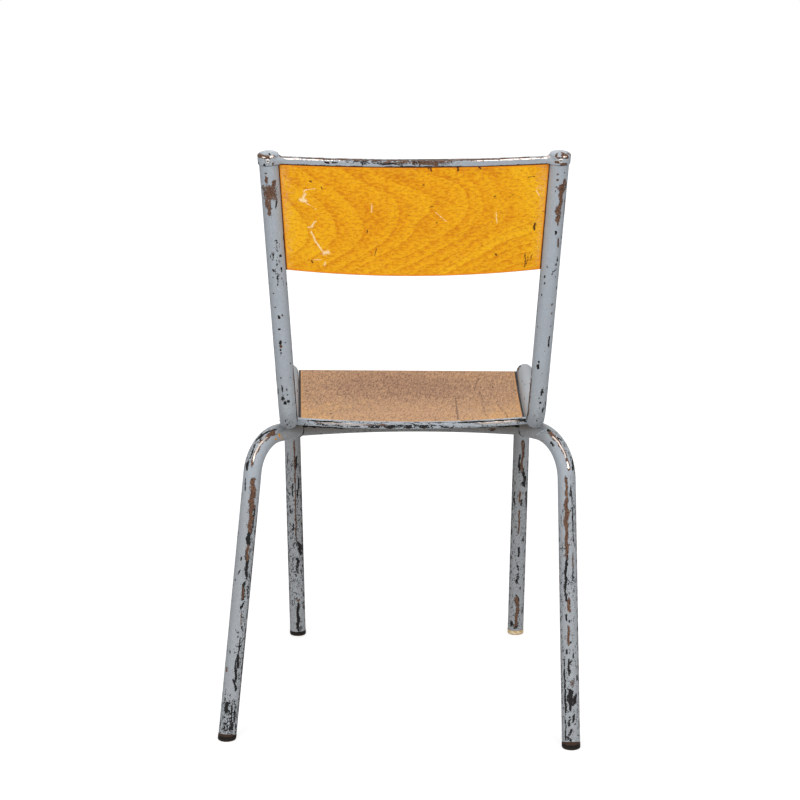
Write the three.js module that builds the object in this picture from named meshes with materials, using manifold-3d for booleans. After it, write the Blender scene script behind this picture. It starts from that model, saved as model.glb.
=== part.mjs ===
// Stacking chair: bent steel tube frame, slotted to hold a plywood seat and backrest.
// Millimetres, +Z up, the sitter faces -Y and the sitter's left hand is at +X.

import * as THREE from 'three';
import { mergeVertices } from 'three/addons/utils/BufferGeometryUtils.js';
import Module from 'manifold-3d';

const wasm = await Module();
wasm.setup();

// ---- Driving dimensions ----

// frame tube
const tubeDiameter = 25;
const tubeWall = 1.5;
const fitGap = 0.3; // round a piece that sits in a cut of another, or rests on it
const slotGap = 0.4; // each side of a plywood panel in its slot

// side tubes: backrest upright, knee, seat rail, front bend, front leg
const railHeight = 429; // centre of the seat rail at the knee corner
const railRise = 8.5; // the rail climbs this much towards the front
const railLength = 372; // knee corner to front bend corner
const kneeHalfSpan = 170.5; // centre plane of the chair to the tube's centre
const frontHalfSpan = 181.3;
const topHalfSpan = 190.3;
const frontFootHalfSpan = 174.3;
const frontFootReach = 13; // the front feet stand this far ahead of the front bend corner
const uprightHeight = 807; // top end of the upright
const uprightLean = 92.4; // the top end lies this far behind the knee corner
const kneeBendRadius = 37;
const frontBendRadius = 45;

// rear legs: one bent tube each, welded under the seat rail; use has spread the two unevenly
const elbowForward = 6; // ahead of the knee corner
const elbowRise = 1; // above the inner end of the leg tube
const leftElbowHalfSpan = 216.7;
const leftElbowRadius = 58;
const leftFootHalfSpan = 257.7;
const leftFootBack = 80; // behind the knee corner
const rightElbowHalfSpan = 213.3;
const rightElbowRadius = 74;
const rightFootHalfSpan = 215;
const rightFootBack = 119.5;
const stubHalfSpan = 161.5; // inner end of the leg tube
const stubForward = 72.5;
const stubSaddle = 0.6; // the rail above sinks this far into the leg tube

// cross tubes: one between the rear legs, one under the front of the seat
const rearCrossDiameter = 22;
const rearCrossBow = 27; // its middle lies this far ahead of its ends
const frontCrossDiameter = 18;
const frontCrossSetback = 70; // behind the front bend corner

// plywood
const plyThickness = 6;
const seatRearLift = 0.4; // top of the seat above the rail's centre line, at the knee corners
const seatFrontLift = 3;
const seatRearSideGap = 3.8; // seat edge to rail, at the seat's rear corners
const seatFrontSideGap = 1.5;
const seatDish = 4;
const seatRearBow = 27;
const seatRearForward = 20; // rear edge of the seat, at its corners, ahead of the knee corner
const seatFlatRear = 14; // flat strip held in the channel
const seatRollAngle = 62; // degrees that the front edge rolls down
const slotReach = 5.5; // the backrest reaches this far inside the tube's inner side
const backrestHeight = 154;
const backrestBow = 30;
const backrestArch = 4.7; // rise of its top edge's middle, which keeps the edge nearly level
const backrestSetForward = 6; // its ends lie this far ahead of the uprights' centre lines
const panelCornerRadius = 5;

// pressed channels over the plywood edges
const channelWall = 1.1;
const channelCornerRadius = 2.6;
const seatChannelDepth = 9;
const topChannelDepth = 7;

// domed ends of the top rail, over the uprights
const capWall = 1.1;
const capSkirt = 11.6; // down the upright from its end
const capDome = 3.9; // above the upright's end
const flareRoot = 6; // the flare starts this far from the cap's axis, inside the cap
const flareLength = 11; // and ends in the plain channel, this far past the cap's side
const flareMouthInset = 2.8; // at its root the flare is this much slimmer than the cap
const rivetDrop = 4.4; // below the upright's end
const rivetHeadDiameter = 6.2;
const rivetHeadHeight = 1.2;
const rivetShankDiameter = 3.2;
const rivetHoleDiameter = 1.8;
const rivetTail = 3; // inside the tube's bore

// foot glides
const glideHeight = 8; // under the end of the leg tube
const glidePlug = 16; // inside the leg tube
const glideLip = 0.6; // wider than the tube, all round
const glideEdge = 2.5;

const overshoot = 60; // cutters run this far past what they cut

// facets
const ringSteps = 10; // for half a round section
const bendStep = 11; // degrees of bend in each faceted length
const bowSteps = 14;
const cornerSteps = 2; // on a channel's rounded edge
const roundingSteps = 3; // on a glide's edge and a rivet's head

const LEFT = 1;
const RIGHT = -1;
const ACROSS = new THREE.Vector3(1, 0, 0);
const BACK = new THREE.Vector3(0, 1, 0);
const UP = new THREE.Vector3(0, 0, 1);

const tubeRadius = tubeDiameter / 2;
const boreRadius = tubeRadius - tubeWall;
const channelWidth = plyThickness + 2 * (slotGap + channelWall);
const capRadius = tubeRadius + fitGap + capWall;

// ---- Materials ----

const greyPaint = { color: 0x9aa5ad, roughness: 0.5, metalness: 0.15 };
const amberVarnish = { color: 0xe0981c, roughness: 0.35, metalness: 0 };
const tanPly = { color: 0xb98c64, roughness: 0.6, metalness: 0 };
const blackRubber = { color: 0x1d1c1b, roughness: 0.7, metalness: 0 };
const creamPlastic = { color: 0xd8c39a, roughness: 0.5, metalness: 0 };
const rivetSteel = { color: 0xd9d9d6, roughness: 0.3, metalness: 0.6 };

// ---- Solids ----

function solidOf(geometry) {
  const bare = geometry.index ? geometry.toNonIndexed() : geometry.clone();
  bare.deleteAttribute('normal');
  bare.deleteAttribute('uv');
  const merged = mergeVertices(bare, 1e-4);
  const mesh = new wasm.Mesh({
    numProp: 3,
    vertProperties: new Float32Array(merged.attributes.position.array),
    triVerts: new Uint32Array(merged.index.array),
  });
  return new wasm.Manifold(mesh);
}

function geometryOf(solid) {
  const mesh = solid.getMesh();
  const geometry = new THREE.BufferGeometry();
  geometry.setAttribute('position', new THREE.BufferAttribute(mesh.vertProperties, 3));
  geometry.setIndex(new THREE.BufferAttribute(mesh.triVerts, 1));
  geometry.computeVertexNormals();
  return geometry;
}

// ---- Centre lines ----

// A centre line given by stations. Sections are held upright by a guide direction.
class Centreline extends THREE.Curve {
  constructor(points, tangents, guide) {
    super();
    this.points = points;
    this.tangents = tangents;
    this.guide = guide;
  }

  get steps() {
    return this.points.length - 1;
  }

  getPoint(t, target = new THREE.Vector3()) {
    return target.copy(this.points[Math.round(t * this.steps)]);
  }

  getPointAt(u, target) {
    return this.getPoint(u, target);
  }

  getTangentAt(u, target = new THREE.Vector3()) {
    return target.copy(this.tangents[Math.round(u * this.steps)]);
  }

  computeFrenetFrames() {
    const tangents = this.tangents;
    const binormals = tangents.map((t) => this.guide.clone().projectOnPlane(t).normalize());
    const normals = tangents.map((t, i) => binormals[i].clone().cross(t));
    return { tangents, normals, binormals };
  }
}

// Straight runs between corners, with a round bend at every inner corner.
function bentLine(corners, radii, guide) {
  const points = [corners[0].clone()];
  const tangents = [corners[1].clone().sub(corners[0]).normalize()];
  radii.forEach((radius, i) => {
    const corner = corners[i + 1];
    const from = corner.clone().sub(corners[i]).normalize();
    const to = corners[i + 2].clone().sub(corner).normalize();
    const turn = from.angleTo(to);
    const axis = from.clone().cross(to).normalize();
    const start = corner.clone().addScaledVector(from, -radius * Math.tan(turn / 2));
    const inward = axis.clone().cross(from);
    const centre = start.clone().addScaledVector(inward, radius);
    const count = Math.max(2, Math.ceil(THREE.MathUtils.radToDeg(turn) / bendStep));
    for (let k = 0; k <= count; k += 1) {
      const angle = (turn * k) / count;
      const arm = start.clone().sub(centre).applyAxisAngle(axis, angle);
      points.push(centre.clone().add(arm));
      tangents.push(from.clone().applyAxisAngle(axis, angle));
    }
  });
  const last = corners.length - 1;
  points.push(corners[last].clone());
  tangents.push(corners[last].clone().sub(corners[last - 1]).normalize());
  return new Centreline(points, tangents, guide);
}

// A shallow arch between two ends, bowed sideways by the given vector at its middle.
function bowedLine(start, end, bow, guide) {
  const middle = start.clone().lerp(end, 0.5).addScaledVector(bow, 2);
  const arch = new THREE.QuadraticBezierCurve3(start, middle, end);
  const points = [];
  const tangents = [];
  for (let k = 0; k <= bowSteps; k += 1) {
    points.push(arch.getPoint(k / bowSteps));
    tangents.push(arch.getTangent(k / bowSteps));
  }
  return new Centreline(points, tangents, guide);
}

// ---- Sections and cutters ----

function roundSection(radius, bore = 0) {
  const shape = new THREE.Shape();
  shape.absarc(0, 0, radius, 0, Math.PI * 2);
  if (bore > 0) {
    const hole = new THREE.Path();
    hole.absarc(0, 0, bore, 0, Math.PI * 2, true);
    shape.holes.push(hole);
  }
  return shape;
}

function sweep(shape, line, curveSegments = ringSteps) {
  const settings = { steps: line.steps, curveSegments, extrudePath: line };
  return solidOf(new THREE.ExtrudeGeometry(shape, settings));
}

function straightRod(start, end, radius, bore = 0) {
  return sweep(roundSection(radius, bore), bentLine([start, end], [], BACK));
}

// A shape drawn on the plane of two directions and extruded along their cross product.
function slab(shape, origin, xAxis, yAxis, depth, curveSegments = ringSteps) {
  const geometry = new THREE.ExtrudeGeometry(shape, { depth, bevelEnabled: false, curveSegments });
  const zAxis = xAxis.clone().cross(yAxis);
  geometry.applyMatrix4(new THREE.Matrix4().makeBasis(xAxis, yAxis, zAxis).setPosition(origin));
  return solidOf(geometry);
}

// A turned solid whose axis starts at a point and runs along a direction.
function turned(profile, origin, direction) {
  const points = profile.map(([r, h]) => new THREE.Vector2(r, h));
  const geometry = new THREE.LatheGeometry(points, 2 * ringSteps);
  const turn = new THREE.Quaternion().setFromUnitVectors(BACK, direction);
  geometry.applyQuaternion(turn);
  geometry.translate(origin.x, origin.y, origin.z);
  return solidOf(geometry);
}

// ---- Side tubes ----

function at(side, halfSpan, back, height) {
  return new THREE.Vector3(side * halfSpan, back, height);
}

const upTheLean = new THREE.Vector3(0, uprightLean, uprightHeight - railHeight).normalize();
const behindTheLean = upTheLean.clone().cross(ACROSS);
const leanLength = Math.hypot(uprightLean, uprightHeight - railHeight);

// A point on the plane of the uprights, measured up the lean from the knee corners.
function onLean(x, upLean, behind = 0) {
  const point = new THREE.Vector3(x, 0, railHeight);
  return point.addScaledVector(upTheLean, upLean).addScaledVector(behindTheLean, behind);
}

function uprightHalfSpan(upLean) {
  return THREE.MathUtils.lerp(kneeHalfSpan, topHalfSpan, upLean / leanLength);
}

function railHalfSpan(forward) {
  return THREE.MathUtils.lerp(kneeHalfSpan, frontHalfSpan, forward / railLength);
}

function railCentre(forward) {
  return THREE.MathUtils.lerp(railHeight, railHeight + railRise, forward / railLength);
}

function frontFoot(side) {
  return at(side, frontFootHalfSpan, -railLength - frontFootReach, 0);
}

function footEnd(foot, corner) {
  return foot.clone().lerp(corner, glideHeight / corner.z);
}

function sideTubeLine(side) {
  const knee = at(side, kneeHalfSpan, 0, railHeight);
  const frontCorner = at(side, frontHalfSpan, -railLength, railHeight + railRise);
  const corners = [
    at(side, topHalfSpan, uprightLean, uprightHeight),
    knee,
    frontCorner,
    footEnd(frontFoot(side), frontCorner),
  ];
  return bentLine(corners, [kneeBendRadius, frontBendRadius], ACROSS);
}

function sideTube(side) {
  const pipe = sweep(roundSection(tubeRadius, boreRadius), sideTubeLine(side));
  return pipe.subtract(backrestPanel(slotGap)).subtract(rivetHole(side));
}

// ---- Rear legs and cross tubes ----

// The leg tube's inner end lies this high, saddled against the underside of the rail.
const stubHeight = railCentre(stubForward) - tubeDiameter - fitGap + stubSaddle;

function rearFoot(side) {
  if (side === LEFT) {
    return at(LEFT, leftFootHalfSpan, leftFootBack, 0);
  }
  return at(RIGHT, rightFootHalfSpan, rightFootBack, 0);
}

function elbow(side) {
  const halfSpan = side === LEFT ? leftElbowHalfSpan : rightElbowHalfSpan;
  return at(side, halfSpan, -elbowForward, stubHeight + elbowRise);
}

function stubEnd(side) {
  return at(side, stubHalfSpan, -stubForward, stubHeight);
}

function rearLeg(side) {
  const corners = [stubEnd(side), elbow(side), footEnd(rearFoot(side), elbow(side))];
  const bend = side === LEFT ? leftElbowRadius : rightElbowRadius;
  const pipe = sweep(roundSection(tubeRadius, boreRadius), bentLine(corners, [bend], BACK));
  return pipe.subtract(railSaddle(side));
}

// The seat rail with a fitting gap, which cuts the saddle of a tube welded under it.
function railSaddle(side) {
  return sweep(roundSection(tubeRadius + fitGap), sideTubeLine(side));
}

function rearCrossTube() {
  const bow = BACK.clone().multiplyScalar(-rearCrossBow);
  const line = bowedLine(stubEnd(RIGHT), stubEnd(LEFT), bow, UP);
  const radius = rearCrossDiameter / 2;
  let pipe = sweep(roundSection(radius, radius - tubeWall), line);
  for (const side of [LEFT, RIGHT]) {
    pipe = pipe.subtract(stubEndCutter(side));
  }
  return pipe;
}

// Takes off what lies behind the square-cut inner end of a rear leg tube.
function stubEndCutter(side) {
  const end = stubEnd(side);
  const inward = end.clone().sub(elbow(side)).normalize();
  const start = end.clone().addScaledVector(inward, -tubeDiameter);
  return straightRod(start, end.addScaledVector(inward, fitGap), tubeDiameter);
}

function frontCrossTube() {
  const radius = frontCrossDiameter / 2;
  const forward = railLength - frontCrossSetback;
  const height = seatUnderside(forward) - fitGap - radius;
  const reach = railHalfSpan(forward);
  const start = at(RIGHT, reach, -forward, height);
  const end = at(LEFT, reach, -forward, height);
  const pipe = straightRod(start, end, radius, radius - tubeWall);
  return pipe.subtract(railSaddle(LEFT)).subtract(railSaddle(RIGHT));
}

// ---- Seat ----

const frontBendStart = railLength - frontBendRadius;
const seatSlope = Math.atan2(railRise + seatFrontLift - seatRearLift, railLength);

const aheadAlongSeat = BACK.clone().negate().applyAxisAngle(ACROSS, -seatSlope);
const aboveSeat = UP.clone().applyAxisAngle(ACROSS, -seatSlope);

// Height of the seat's top, without its dish, at a distance ahead of the knee corners.
function seatTop(forward) {
  return railHeight + seatRearLift + forward * Math.tan(seatSlope);
}

// Depth of the dish below the line of the rail, at a distance ahead of the knee corners.
function seatDishAt(forward) {
  const t = (forward - seatDishStart) / (frontBendStart - seatDishStart);
  return t > 0 && t < 1 ? 4 * seatDish * t * (1 - t) : 0;
}

const seatDishStart = seatRearForward + seatFlatRear;

function seatUnderside(forward) {
  return seatTop(forward) - seatDishAt(forward) - plyThickness;
}

// Side view of the seat board: flat in the channel, dished, then rolled down at the front.
function seatProfile() {
  const shape = new THREE.Shape();
  const rearReach = seatRearForward - seatRearBow - overshoot;
  const middle = (seatDishStart + frontBendStart) / 2;
  const roll = THREE.MathUtils.degToRad(seatRollAngle);
  const top = seatRearLift;
  const bottom = top - plyThickness;
  shape.moveTo(rearReach, bottom);
  shape.lineTo(seatDishStart, bottom);
  shape.quadraticCurveTo(middle, bottom - 2 * seatDish, frontBendStart, bottom);
  const centre = top - frontBendRadius;
  shape.absarc(frontBendStart, centre, frontBendRadius - plyThickness, Math.PI / 2, Math.PI / 2 - roll, true);
  shape.absarc(frontBendStart, centre, frontBendRadius, Math.PI / 2 - roll, Math.PI / 2, false);
  shape.quadraticCurveTo(middle, top - 2 * seatDish, seatDishStart, top);
  shape.lineTo(rearReach, top);
  return shape;
}

// Plan of the seat board: sides beside the rails, rear edge bowed like its channel.
function seatPlan() {
  const rear = -seatRearForward;
  const front = -railLength - frontBendRadius;
  const rearHalf = railHalfSpan(seatRearForward) - tubeRadius - seatRearSideGap;
  const frontHalf = railHalfSpan(-front) - tubeRadius - seatFrontSideGap;
  const shape = new THREE.Shape();
  shape.moveTo(-frontHalf, front);
  shape.lineTo(frontHalf, front);
  shape.lineTo(rearHalf, rear);
  shape.quadraticCurveTo(0, rear + 2 * seatRearBow, -rearHalf, rear);
  return shape;
}

function seatPanel() {
  const origin = new THREE.Vector3(frontHalfSpan, 0, railHeight);
  const board = slab(seatProfile(), origin, aheadAlongSeat, aboveSeat, 2 * frontHalfSpan, bowSteps);
  const below = new THREE.Vector3(0, 0, railHeight - frontBendRadius - overshoot);
  const depth = frontBendRadius + 2 * overshoot;
  return board.intersect(slab(seatPlan(), below, ACROSS, BACK, depth, bowSteps));
}

function channelSection(width, depth, opening) {
  const radius = channelCornerRadius;
  const shape = new THREE.Shape();
  const half = width / 2;
  shape.moveTo(-depth, -half);
  shape.lineTo(-radius, -half);
  shape.absarc(-radius, radius - half, radius, -Math.PI / 2, 0, false);
  shape.absarc(-radius, half - radius, radius, 0, Math.PI / 2, false);
  shape.lineTo(-depth, half);
  if (opening > 0) {
    shape.lineTo(-depth, opening / 2);
    shape.lineTo(-channelWall, opening / 2);
    shape.lineTo(-channelWall, -opening / 2);
    shape.lineTo(-depth, -opening / 2);
  }
  return shape;
}

function seatChannel() {
  const forward = seatRearForward - channelWall - slotGap;
  const reach = railHalfSpan(forward) - tubeRadius + channelCornerRadius;
  const height = seatTop(forward) - plyThickness / 2;
  const start = at(RIGHT, reach, -forward, height);
  const end = at(LEFT, reach, -forward, height);
  const bow = aheadAlongSeat.clone().multiplyScalar(-seatRearBow);
  const section = channelSection(channelWidth, seatChannelDepth, plyThickness + 2 * slotGap);
  const channel = sweep(section, bowedLine(start, end, bow, aboveSeat), cornerSteps);
  return channel.subtract(railSaddle(LEFT)).subtract(railSaddle(RIGHT));
}

// ---- Backrest ----

const topChannelTop = leanLength - capSkirt + topChannelDepth;
const backrestTop = topChannelTop - channelWall - slotGap;
const backrestBottom = backrestTop - backrestHeight;

function backrestHalfWidth(upLean) {
  return uprightHalfSpan(upLean) - tubeRadius + slotReach;
}

// The board in plan: bowed rearwards between the planes of the two uprights.
function backrestSection(grow) {
  const reach = topHalfSpan;
  const half = plyThickness / 2 + grow;
  const shape = new THREE.Shape();
  shape.moveTo(-reach, -half);
  shape.quadraticCurveTo(0, 2 * backrestBow - half, reach, -half);
  shape.lineTo(reach, half);
  shape.quadraticCurveTo(0, 2 * backrestBow + half, -reach, half);
  return shape;
}

// The board seen square on: level top edge, rounded lower corners.
function backrestOutline(grow) {
  const top = backrestTop + grow;
  const bottom = backrestBottom - grow;
  const topHalf = backrestHalfWidth(top) + grow;
  const bottomHalf = backrestHalfWidth(bottom) + grow;
  const round = panelCornerRadius;
  const shape = new THREE.Shape();
  shape.moveTo(round - bottomHalf, bottom);
  shape.lineTo(bottomHalf - round, bottom);
  shape.quadraticCurveTo(bottomHalf, bottom, bottomHalf, bottom + round);
  shape.lineTo(topHalf, top);
  shape.quadraticCurveTo(0, top + 2 * backrestArch, -topHalf, top);
  shape.lineTo(-bottomHalf, bottom + round);
  shape.quadraticCurveTo(-bottomHalf, bottom, round - bottomHalf, bottom);
  return shape;
}

function backrestPanel(grow = 0) {
  const start = onLean(0, backrestBottom - overshoot, -backrestSetForward);
  const depth = backrestHeight + 2 * overshoot;
  const board = slab(backrestSection(grow), start, ACROSS, behindTheLean, depth, bowSteps);
  const behind = onLean(0, 0, overshoot);
  return board.intersect(slab(backrestOutline(grow), behind, ACROSS, upTheLean, 2 * overshoot, bowSteps));
}

// ---- Top rail with its domed ends ----

function uprightPoint(side, upLean) {
  return onLean(side * uprightHalfSpan(upLean), upLean);
}

function uprightDirection(side) {
  return uprightPoint(side, leanLength).sub(uprightPoint(side, 0)).normalize();
}

// Profile of a round-topped plug, from its rim up over its dome to the axis.
function domeProfile(radius, rim, shoulder, crown) {
  const profile = [[0, rim], [radius, rim]];
  for (let k = 0; k <= ringSteps / 2; k += 1) {
    const angle = (Math.PI * k) / ringSteps;
    profile.push([radius * Math.cos(angle), shoulder + (crown - shoulder) * Math.sin(angle)]);
  }
  profile[profile.length - 1][0] = 0;
  return profile;
}

function capSolid(side, radius, rim, shoulder, crown) {
  const end = uprightPoint(side, leanLength);
  return turned(domeProfile(radius, rim, shoulder, crown), end, uprightDirection(side));
}

// Trumpet that swells from the plain channel into the round cap.
function capFlare(side) {
  const middle = topChannelTop - topChannelDepth / 2;
  const origin = onLean(side * uprightHalfSpan(middle), middle);
  const reach = capRadius + flareLength;
  const slim = (topChannelDepth - channelCornerRadius) / 2;
  const wide = capRadius - flareMouthInset;
  const profile = [[0, 0]];
  for (let k = 0; k <= ringSteps / 2; k += 1) {
    const t = k / (ringSteps / 2);
    const swell = (1 + Math.cos(Math.PI * t)) / 2;
    profile.push([slim + (wide - slim) * swell, flareRoot + (reach - flareRoot) * t]);
  }
  profile.push([0, reach]);
  return turned(profile, origin, ACROSS.clone().multiplyScalar(-side));
}

function topRail() {
  const bow = behindTheLean.clone().multiplyScalar(backrestBow);
  bow.addScaledVector(upTheLean, backrestArch);
  const start = onLean(-topHalfSpan, topChannelTop, -backrestSetForward);
  const end = onLean(topHalfSpan, topChannelTop, -backrestSetForward);
  const section = channelSection(channelWidth, topChannelDepth, 0);
  const turnedSection = sectionTurned(section);
  let rail = sweep(turnedSection, bowedLine(start, end, bow, upTheLean));
  for (const side of [LEFT, RIGHT]) {
    rail = rail.add(capSolid(side, capRadius, -capSkirt, 0, capDome));
    rail = rail.add(capFlare(side));
  }
  rail = rail.subtract(belowTheRail());
  for (const side of [LEFT, RIGHT]) {
    rail = rail.subtract(capSolid(side, tubeRadius + fitGap, -2 * capSkirt, fitGap, capDome - capWall));
    rail = rail.subtract(rivetHole(side));
  }
  return rail.subtract(backrestPanel(slotGap));
}

// The channel section with its web on top instead of behind.
function sectionTurned(section) {
  const points = section.getPoints(cornerSteps).map((p) => new THREE.Vector2(-p.y, p.x));
  return new THREE.Shape(points);
}

// Everything under the lower edge of the top rail and its caps.
function belowTheRail() {
  const edge = leanLength - capSkirt;
  const reach = topHalfSpan + tubeDiameter;
  const shape = new THREE.Shape();
  shape.moveTo(-reach, edge - tubeDiameter);
  shape.lineTo(reach, edge - tubeDiameter);
  shape.lineTo(reach, edge);
  shape.lineTo(topHalfSpan, edge);
  shape.quadraticCurveTo(0, edge + 2 * backrestArch, -topHalfSpan, edge);
  shape.lineTo(-reach, edge);
  return slab(shape, onLean(0, 0, overshoot), ACROSS, upTheLean, 2 * overshoot, bowSteps);
}

function rivetSeat(side) {
  return uprightPoint(side, leanLength - rivetDrop);
}

function rivetHole(side) {
  const start = rivetSeat(side);
  const end = start.clone().addScaledVector(behindTheLean, tubeDiameter);
  return straightRod(start, end, rivetShankDiameter / 2 + fitGap);
}

// Tubular rivet: a low round head with an open centre, and a hollow shank.
function rivet(side) {
  const surface = capRadius + fitGap;
  const tail = boreRadius - rivetTail;
  const hole = rivetHoleDiameter / 2;
  const shank = rivetShankDiameter / 2;
  const rim = rivetHeadDiameter / 2 - hole;
  const profile = [[hole, tail], [shank, tail], [shank, surface]];
  for (let k = 0; k <= roundingSteps; k += 1) {
    const angle = (Math.PI / 2) * (k / roundingSteps);
    profile.push([hole + rim * Math.cos(angle), surface + rivetHeadHeight * Math.sin(angle)]);
  }
  profile.push([hole, tail]);
  return turned(profile, rivetSeat(side), behindTheLean);
}

// ---- Foot glides ----

function glide(foot, corner) {
  const up = corner.clone().sub(foot).normalize();
  const seat = footEnd(foot, corner).distanceTo(foot) - fitGap;
  const below = -tubeRadius;
  const flange = tubeRadius + glideLip;
  const plug = boreRadius - fitGap;
  const profile = [
    [0, below],
    [flange, below],
    [flange, seat],
    [plug, seat],
    [plug, seat + glidePlug - glideEdge],
    [plug - glideEdge, seat + glidePlug],
    [0, seat + glidePlug],
  ];
  return turned(profile, foot, up).intersect(floorPuck(foot));
}

// Trims a glide flat on the floor, with a worn round lower edge.
function floorPuck(foot) {
  const flange = tubeRadius + glideLip;
  const profile = [[0, 0], [flange - glideEdge, 0]];
  for (let k = 1; k <= roundingSteps; k += 1) {
    const angle = (Math.PI / 2) * (k / roundingSteps);
    profile.push([
      flange + glideEdge * (Math.sin(angle) - 1),
      glideEdge * (1 - Math.cos(angle)),
    ]);
  }
  profile.push([overshoot, overshoot], [0, overshoot]);
  return turned(profile, foot, UP);
}

// ---- Assembly ----

const chair = new THREE.Group();

function place(name, solid, finish) {
  const mesh = new THREE.Mesh(geometryOf(solid), new THREE.MeshStandardMaterial(finish));
  mesh.name = name;
  chair.add(mesh);
}

const sides = [['left', LEFT], ['right', RIGHT]];

for (const [word, side] of sides) {
  const frontCorner = at(side, frontHalfSpan, -railLength, railHeight + railRise);
  const frontFinish = side === LEFT ? blackRubber : creamPlastic;
  place(`side_tube_${word}`, sideTube(side), greyPaint);
  place(`rear_leg_${word}`, rearLeg(side), greyPaint);
  place(`cap_rivet_${word}`, rivet(side), rivetSteel);
  place(`front_glide_${word}`, glide(frontFoot(side), frontCorner), frontFinish);
  place(`rear_glide_${word}`, glide(rearFoot(side), elbow(side)), blackRubber);
}
place('rear_cross_tube', rearCrossTube(), greyPaint);
place('front_cross_tube', frontCrossTube(), greyPaint);
place('seat_rear_channel', seatChannel(), greyPaint);
place('seat_panel', seatPanel(), tanPly);
place('backrest_panel', backrestPanel(), amberVarnish);
place('top_rail', topRail(), greyPaint);

// The origin is on the floor, under the middle of the chair's box.
const box = new THREE.Box3().setFromObject(chair);
const middle = box.getCenter(new THREE.Vector3());
chair.position.set(-middle.x, -middle.y, -box.min.z);
const part = new THREE.Group();
part.add(chair);

export default part;
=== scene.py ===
import math

import bpy
import numpy as np
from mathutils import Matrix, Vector


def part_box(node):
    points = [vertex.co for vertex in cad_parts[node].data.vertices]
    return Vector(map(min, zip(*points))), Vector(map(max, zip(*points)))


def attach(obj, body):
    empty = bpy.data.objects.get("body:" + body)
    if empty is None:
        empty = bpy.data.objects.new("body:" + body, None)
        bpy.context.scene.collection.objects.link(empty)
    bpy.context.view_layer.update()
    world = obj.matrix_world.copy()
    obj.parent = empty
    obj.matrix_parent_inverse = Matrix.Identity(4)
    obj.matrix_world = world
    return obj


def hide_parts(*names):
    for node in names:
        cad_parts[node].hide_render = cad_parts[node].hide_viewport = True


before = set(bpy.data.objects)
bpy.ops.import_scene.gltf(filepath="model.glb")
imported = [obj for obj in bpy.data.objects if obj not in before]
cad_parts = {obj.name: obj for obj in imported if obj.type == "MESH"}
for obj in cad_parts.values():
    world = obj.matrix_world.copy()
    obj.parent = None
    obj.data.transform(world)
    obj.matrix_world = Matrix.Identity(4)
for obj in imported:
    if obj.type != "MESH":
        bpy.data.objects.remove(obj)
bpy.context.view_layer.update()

# ---------------------------------------------------------------- Side tubes
# Each side of the chair is one steel tube, 25 mm across: backrest upright, tight knee,
# seat rail, front bend and front leg. Both are bent alike and painted light grey.
LEFT, RIGHT = 1, -1  # the sitter's left is at +X, and the sitter faces -Y
SIDES = (("left", LEFT), ("right", RIGHT))
ACROSS = np.array((1.0, 0.0, 0.0))
BACK = np.array((0.0, 1.0, 0.0))
UP = np.array((0.0, 0.0, 1.0))
tube_radius = 0.0125
rail_height = 0.429
rail_rise = 0.0085
rail_length = 0.372
knee_half_span = 0.1705
front_half_span = 0.1813
top_half_span = 0.1903
front_foot_half_span = 0.1743
front_foot_reach = 0.013
upright_height = 0.807
upright_lean = 0.0924
knee_bend_radius = 0.037
front_bend_radius = 0.045
glide_height = 0.008
station_pitch = 0.0018  # between the rings of a tube
tube_sides = 96

grey_paint = (0.398, 0.432, 0.476, 1)
bare_steel = ((0.055, 0.028, 0.019, 1), (0.205, 0.112, 0.072, 1))  # brown, dark and light
chip_black = ((0.004, 0.004, 0.005, 1), (0.030, 0.027, 0.026, 1))
bright_steel = (0.70, 0.60, 0.54, 1)
chip_lip = (0.66, 0.70, 0.73, 1)  # the broken edge of the paint, a little paler
fly_speck = (0.12, 0.11, 0.10, 1)
grime_and_shade_tint = (0.74, 0.675, 0.61, 1)  # the paint's tint under full grime, and under full painted shade
orange_drops = (0.70, 0.30, 0.020, 1)


def unit(v):
    return v / np.linalg.norm(v)


def bent_line(corners, radii):
    """Points and directions along straight runs that are joined by round bends."""
    corners = [np.array(c, float) for c in corners]
    points, ways = [], []
    start = corners[0]
    for i in range(1, len(corners)):
        way = unit(corners[i] - corners[i - 1])
        end = corners[i]
        bends = i < len(corners) - 1
        if bends:
            after = unit(corners[i + 1] - corners[i])
            turn = math.acos(np.dot(way, after))
            radius = radii[i - 1]
            end = corners[i] - way * radius * math.tan(turn / 2)
        count = max(1, round(np.linalg.norm(end - start) / station_pitch))
        for k in range(count):
            points.append(start + (end - start) * k / count)
            ways.append(way)
        if bends:
            inward = unit(after - way * np.dot(way, after))
            count = max(6, round(radius * turn / station_pitch))
            for k in range(count + 1):
                angle = turn * k / count
                arm = inward * (1 - math.cos(angle)) + way * math.sin(angle)
                if k < count:
                    points.append(end + arm * radius)
                    ways.append(way * math.cos(angle) + inward * math.sin(angle))
            start = end + arm * radius
    points.append(corners[-1])
    ways.append(way)
    return np.array(points), np.array(ways)


def smooth_piece(name, points, faces, sharp=35):
    """A new object from points and faces, shaded smooth up to the sharp angle."""
    mesh = bpy.data.meshes.new(name)
    mesh.from_pydata(np.reshape(points, (-1, 3)).tolist(), [], faces)
    mesh.shade_smooth()
    mesh.set_sharp_from_angle(angle=math.radians(sharp))
    piece = bpy.data.objects.new(name, mesh)
    bpy.context.scene.collection.objects.link(piece)
    return piece


def store(piece, name, values, kind="FLOAT_VECTOR"):
    """Keeps a value, vector or colour for each point of a piece, for its material to read."""
    field = {"FLOAT": "value", "FLOAT_VECTOR": "vector", "FLOAT_COLOR": "color"}[kind]
    piece.data.attributes.new(name, kind, "POINT").data.foreach_set(field, np.asarray(values, float).ravel())


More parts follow.
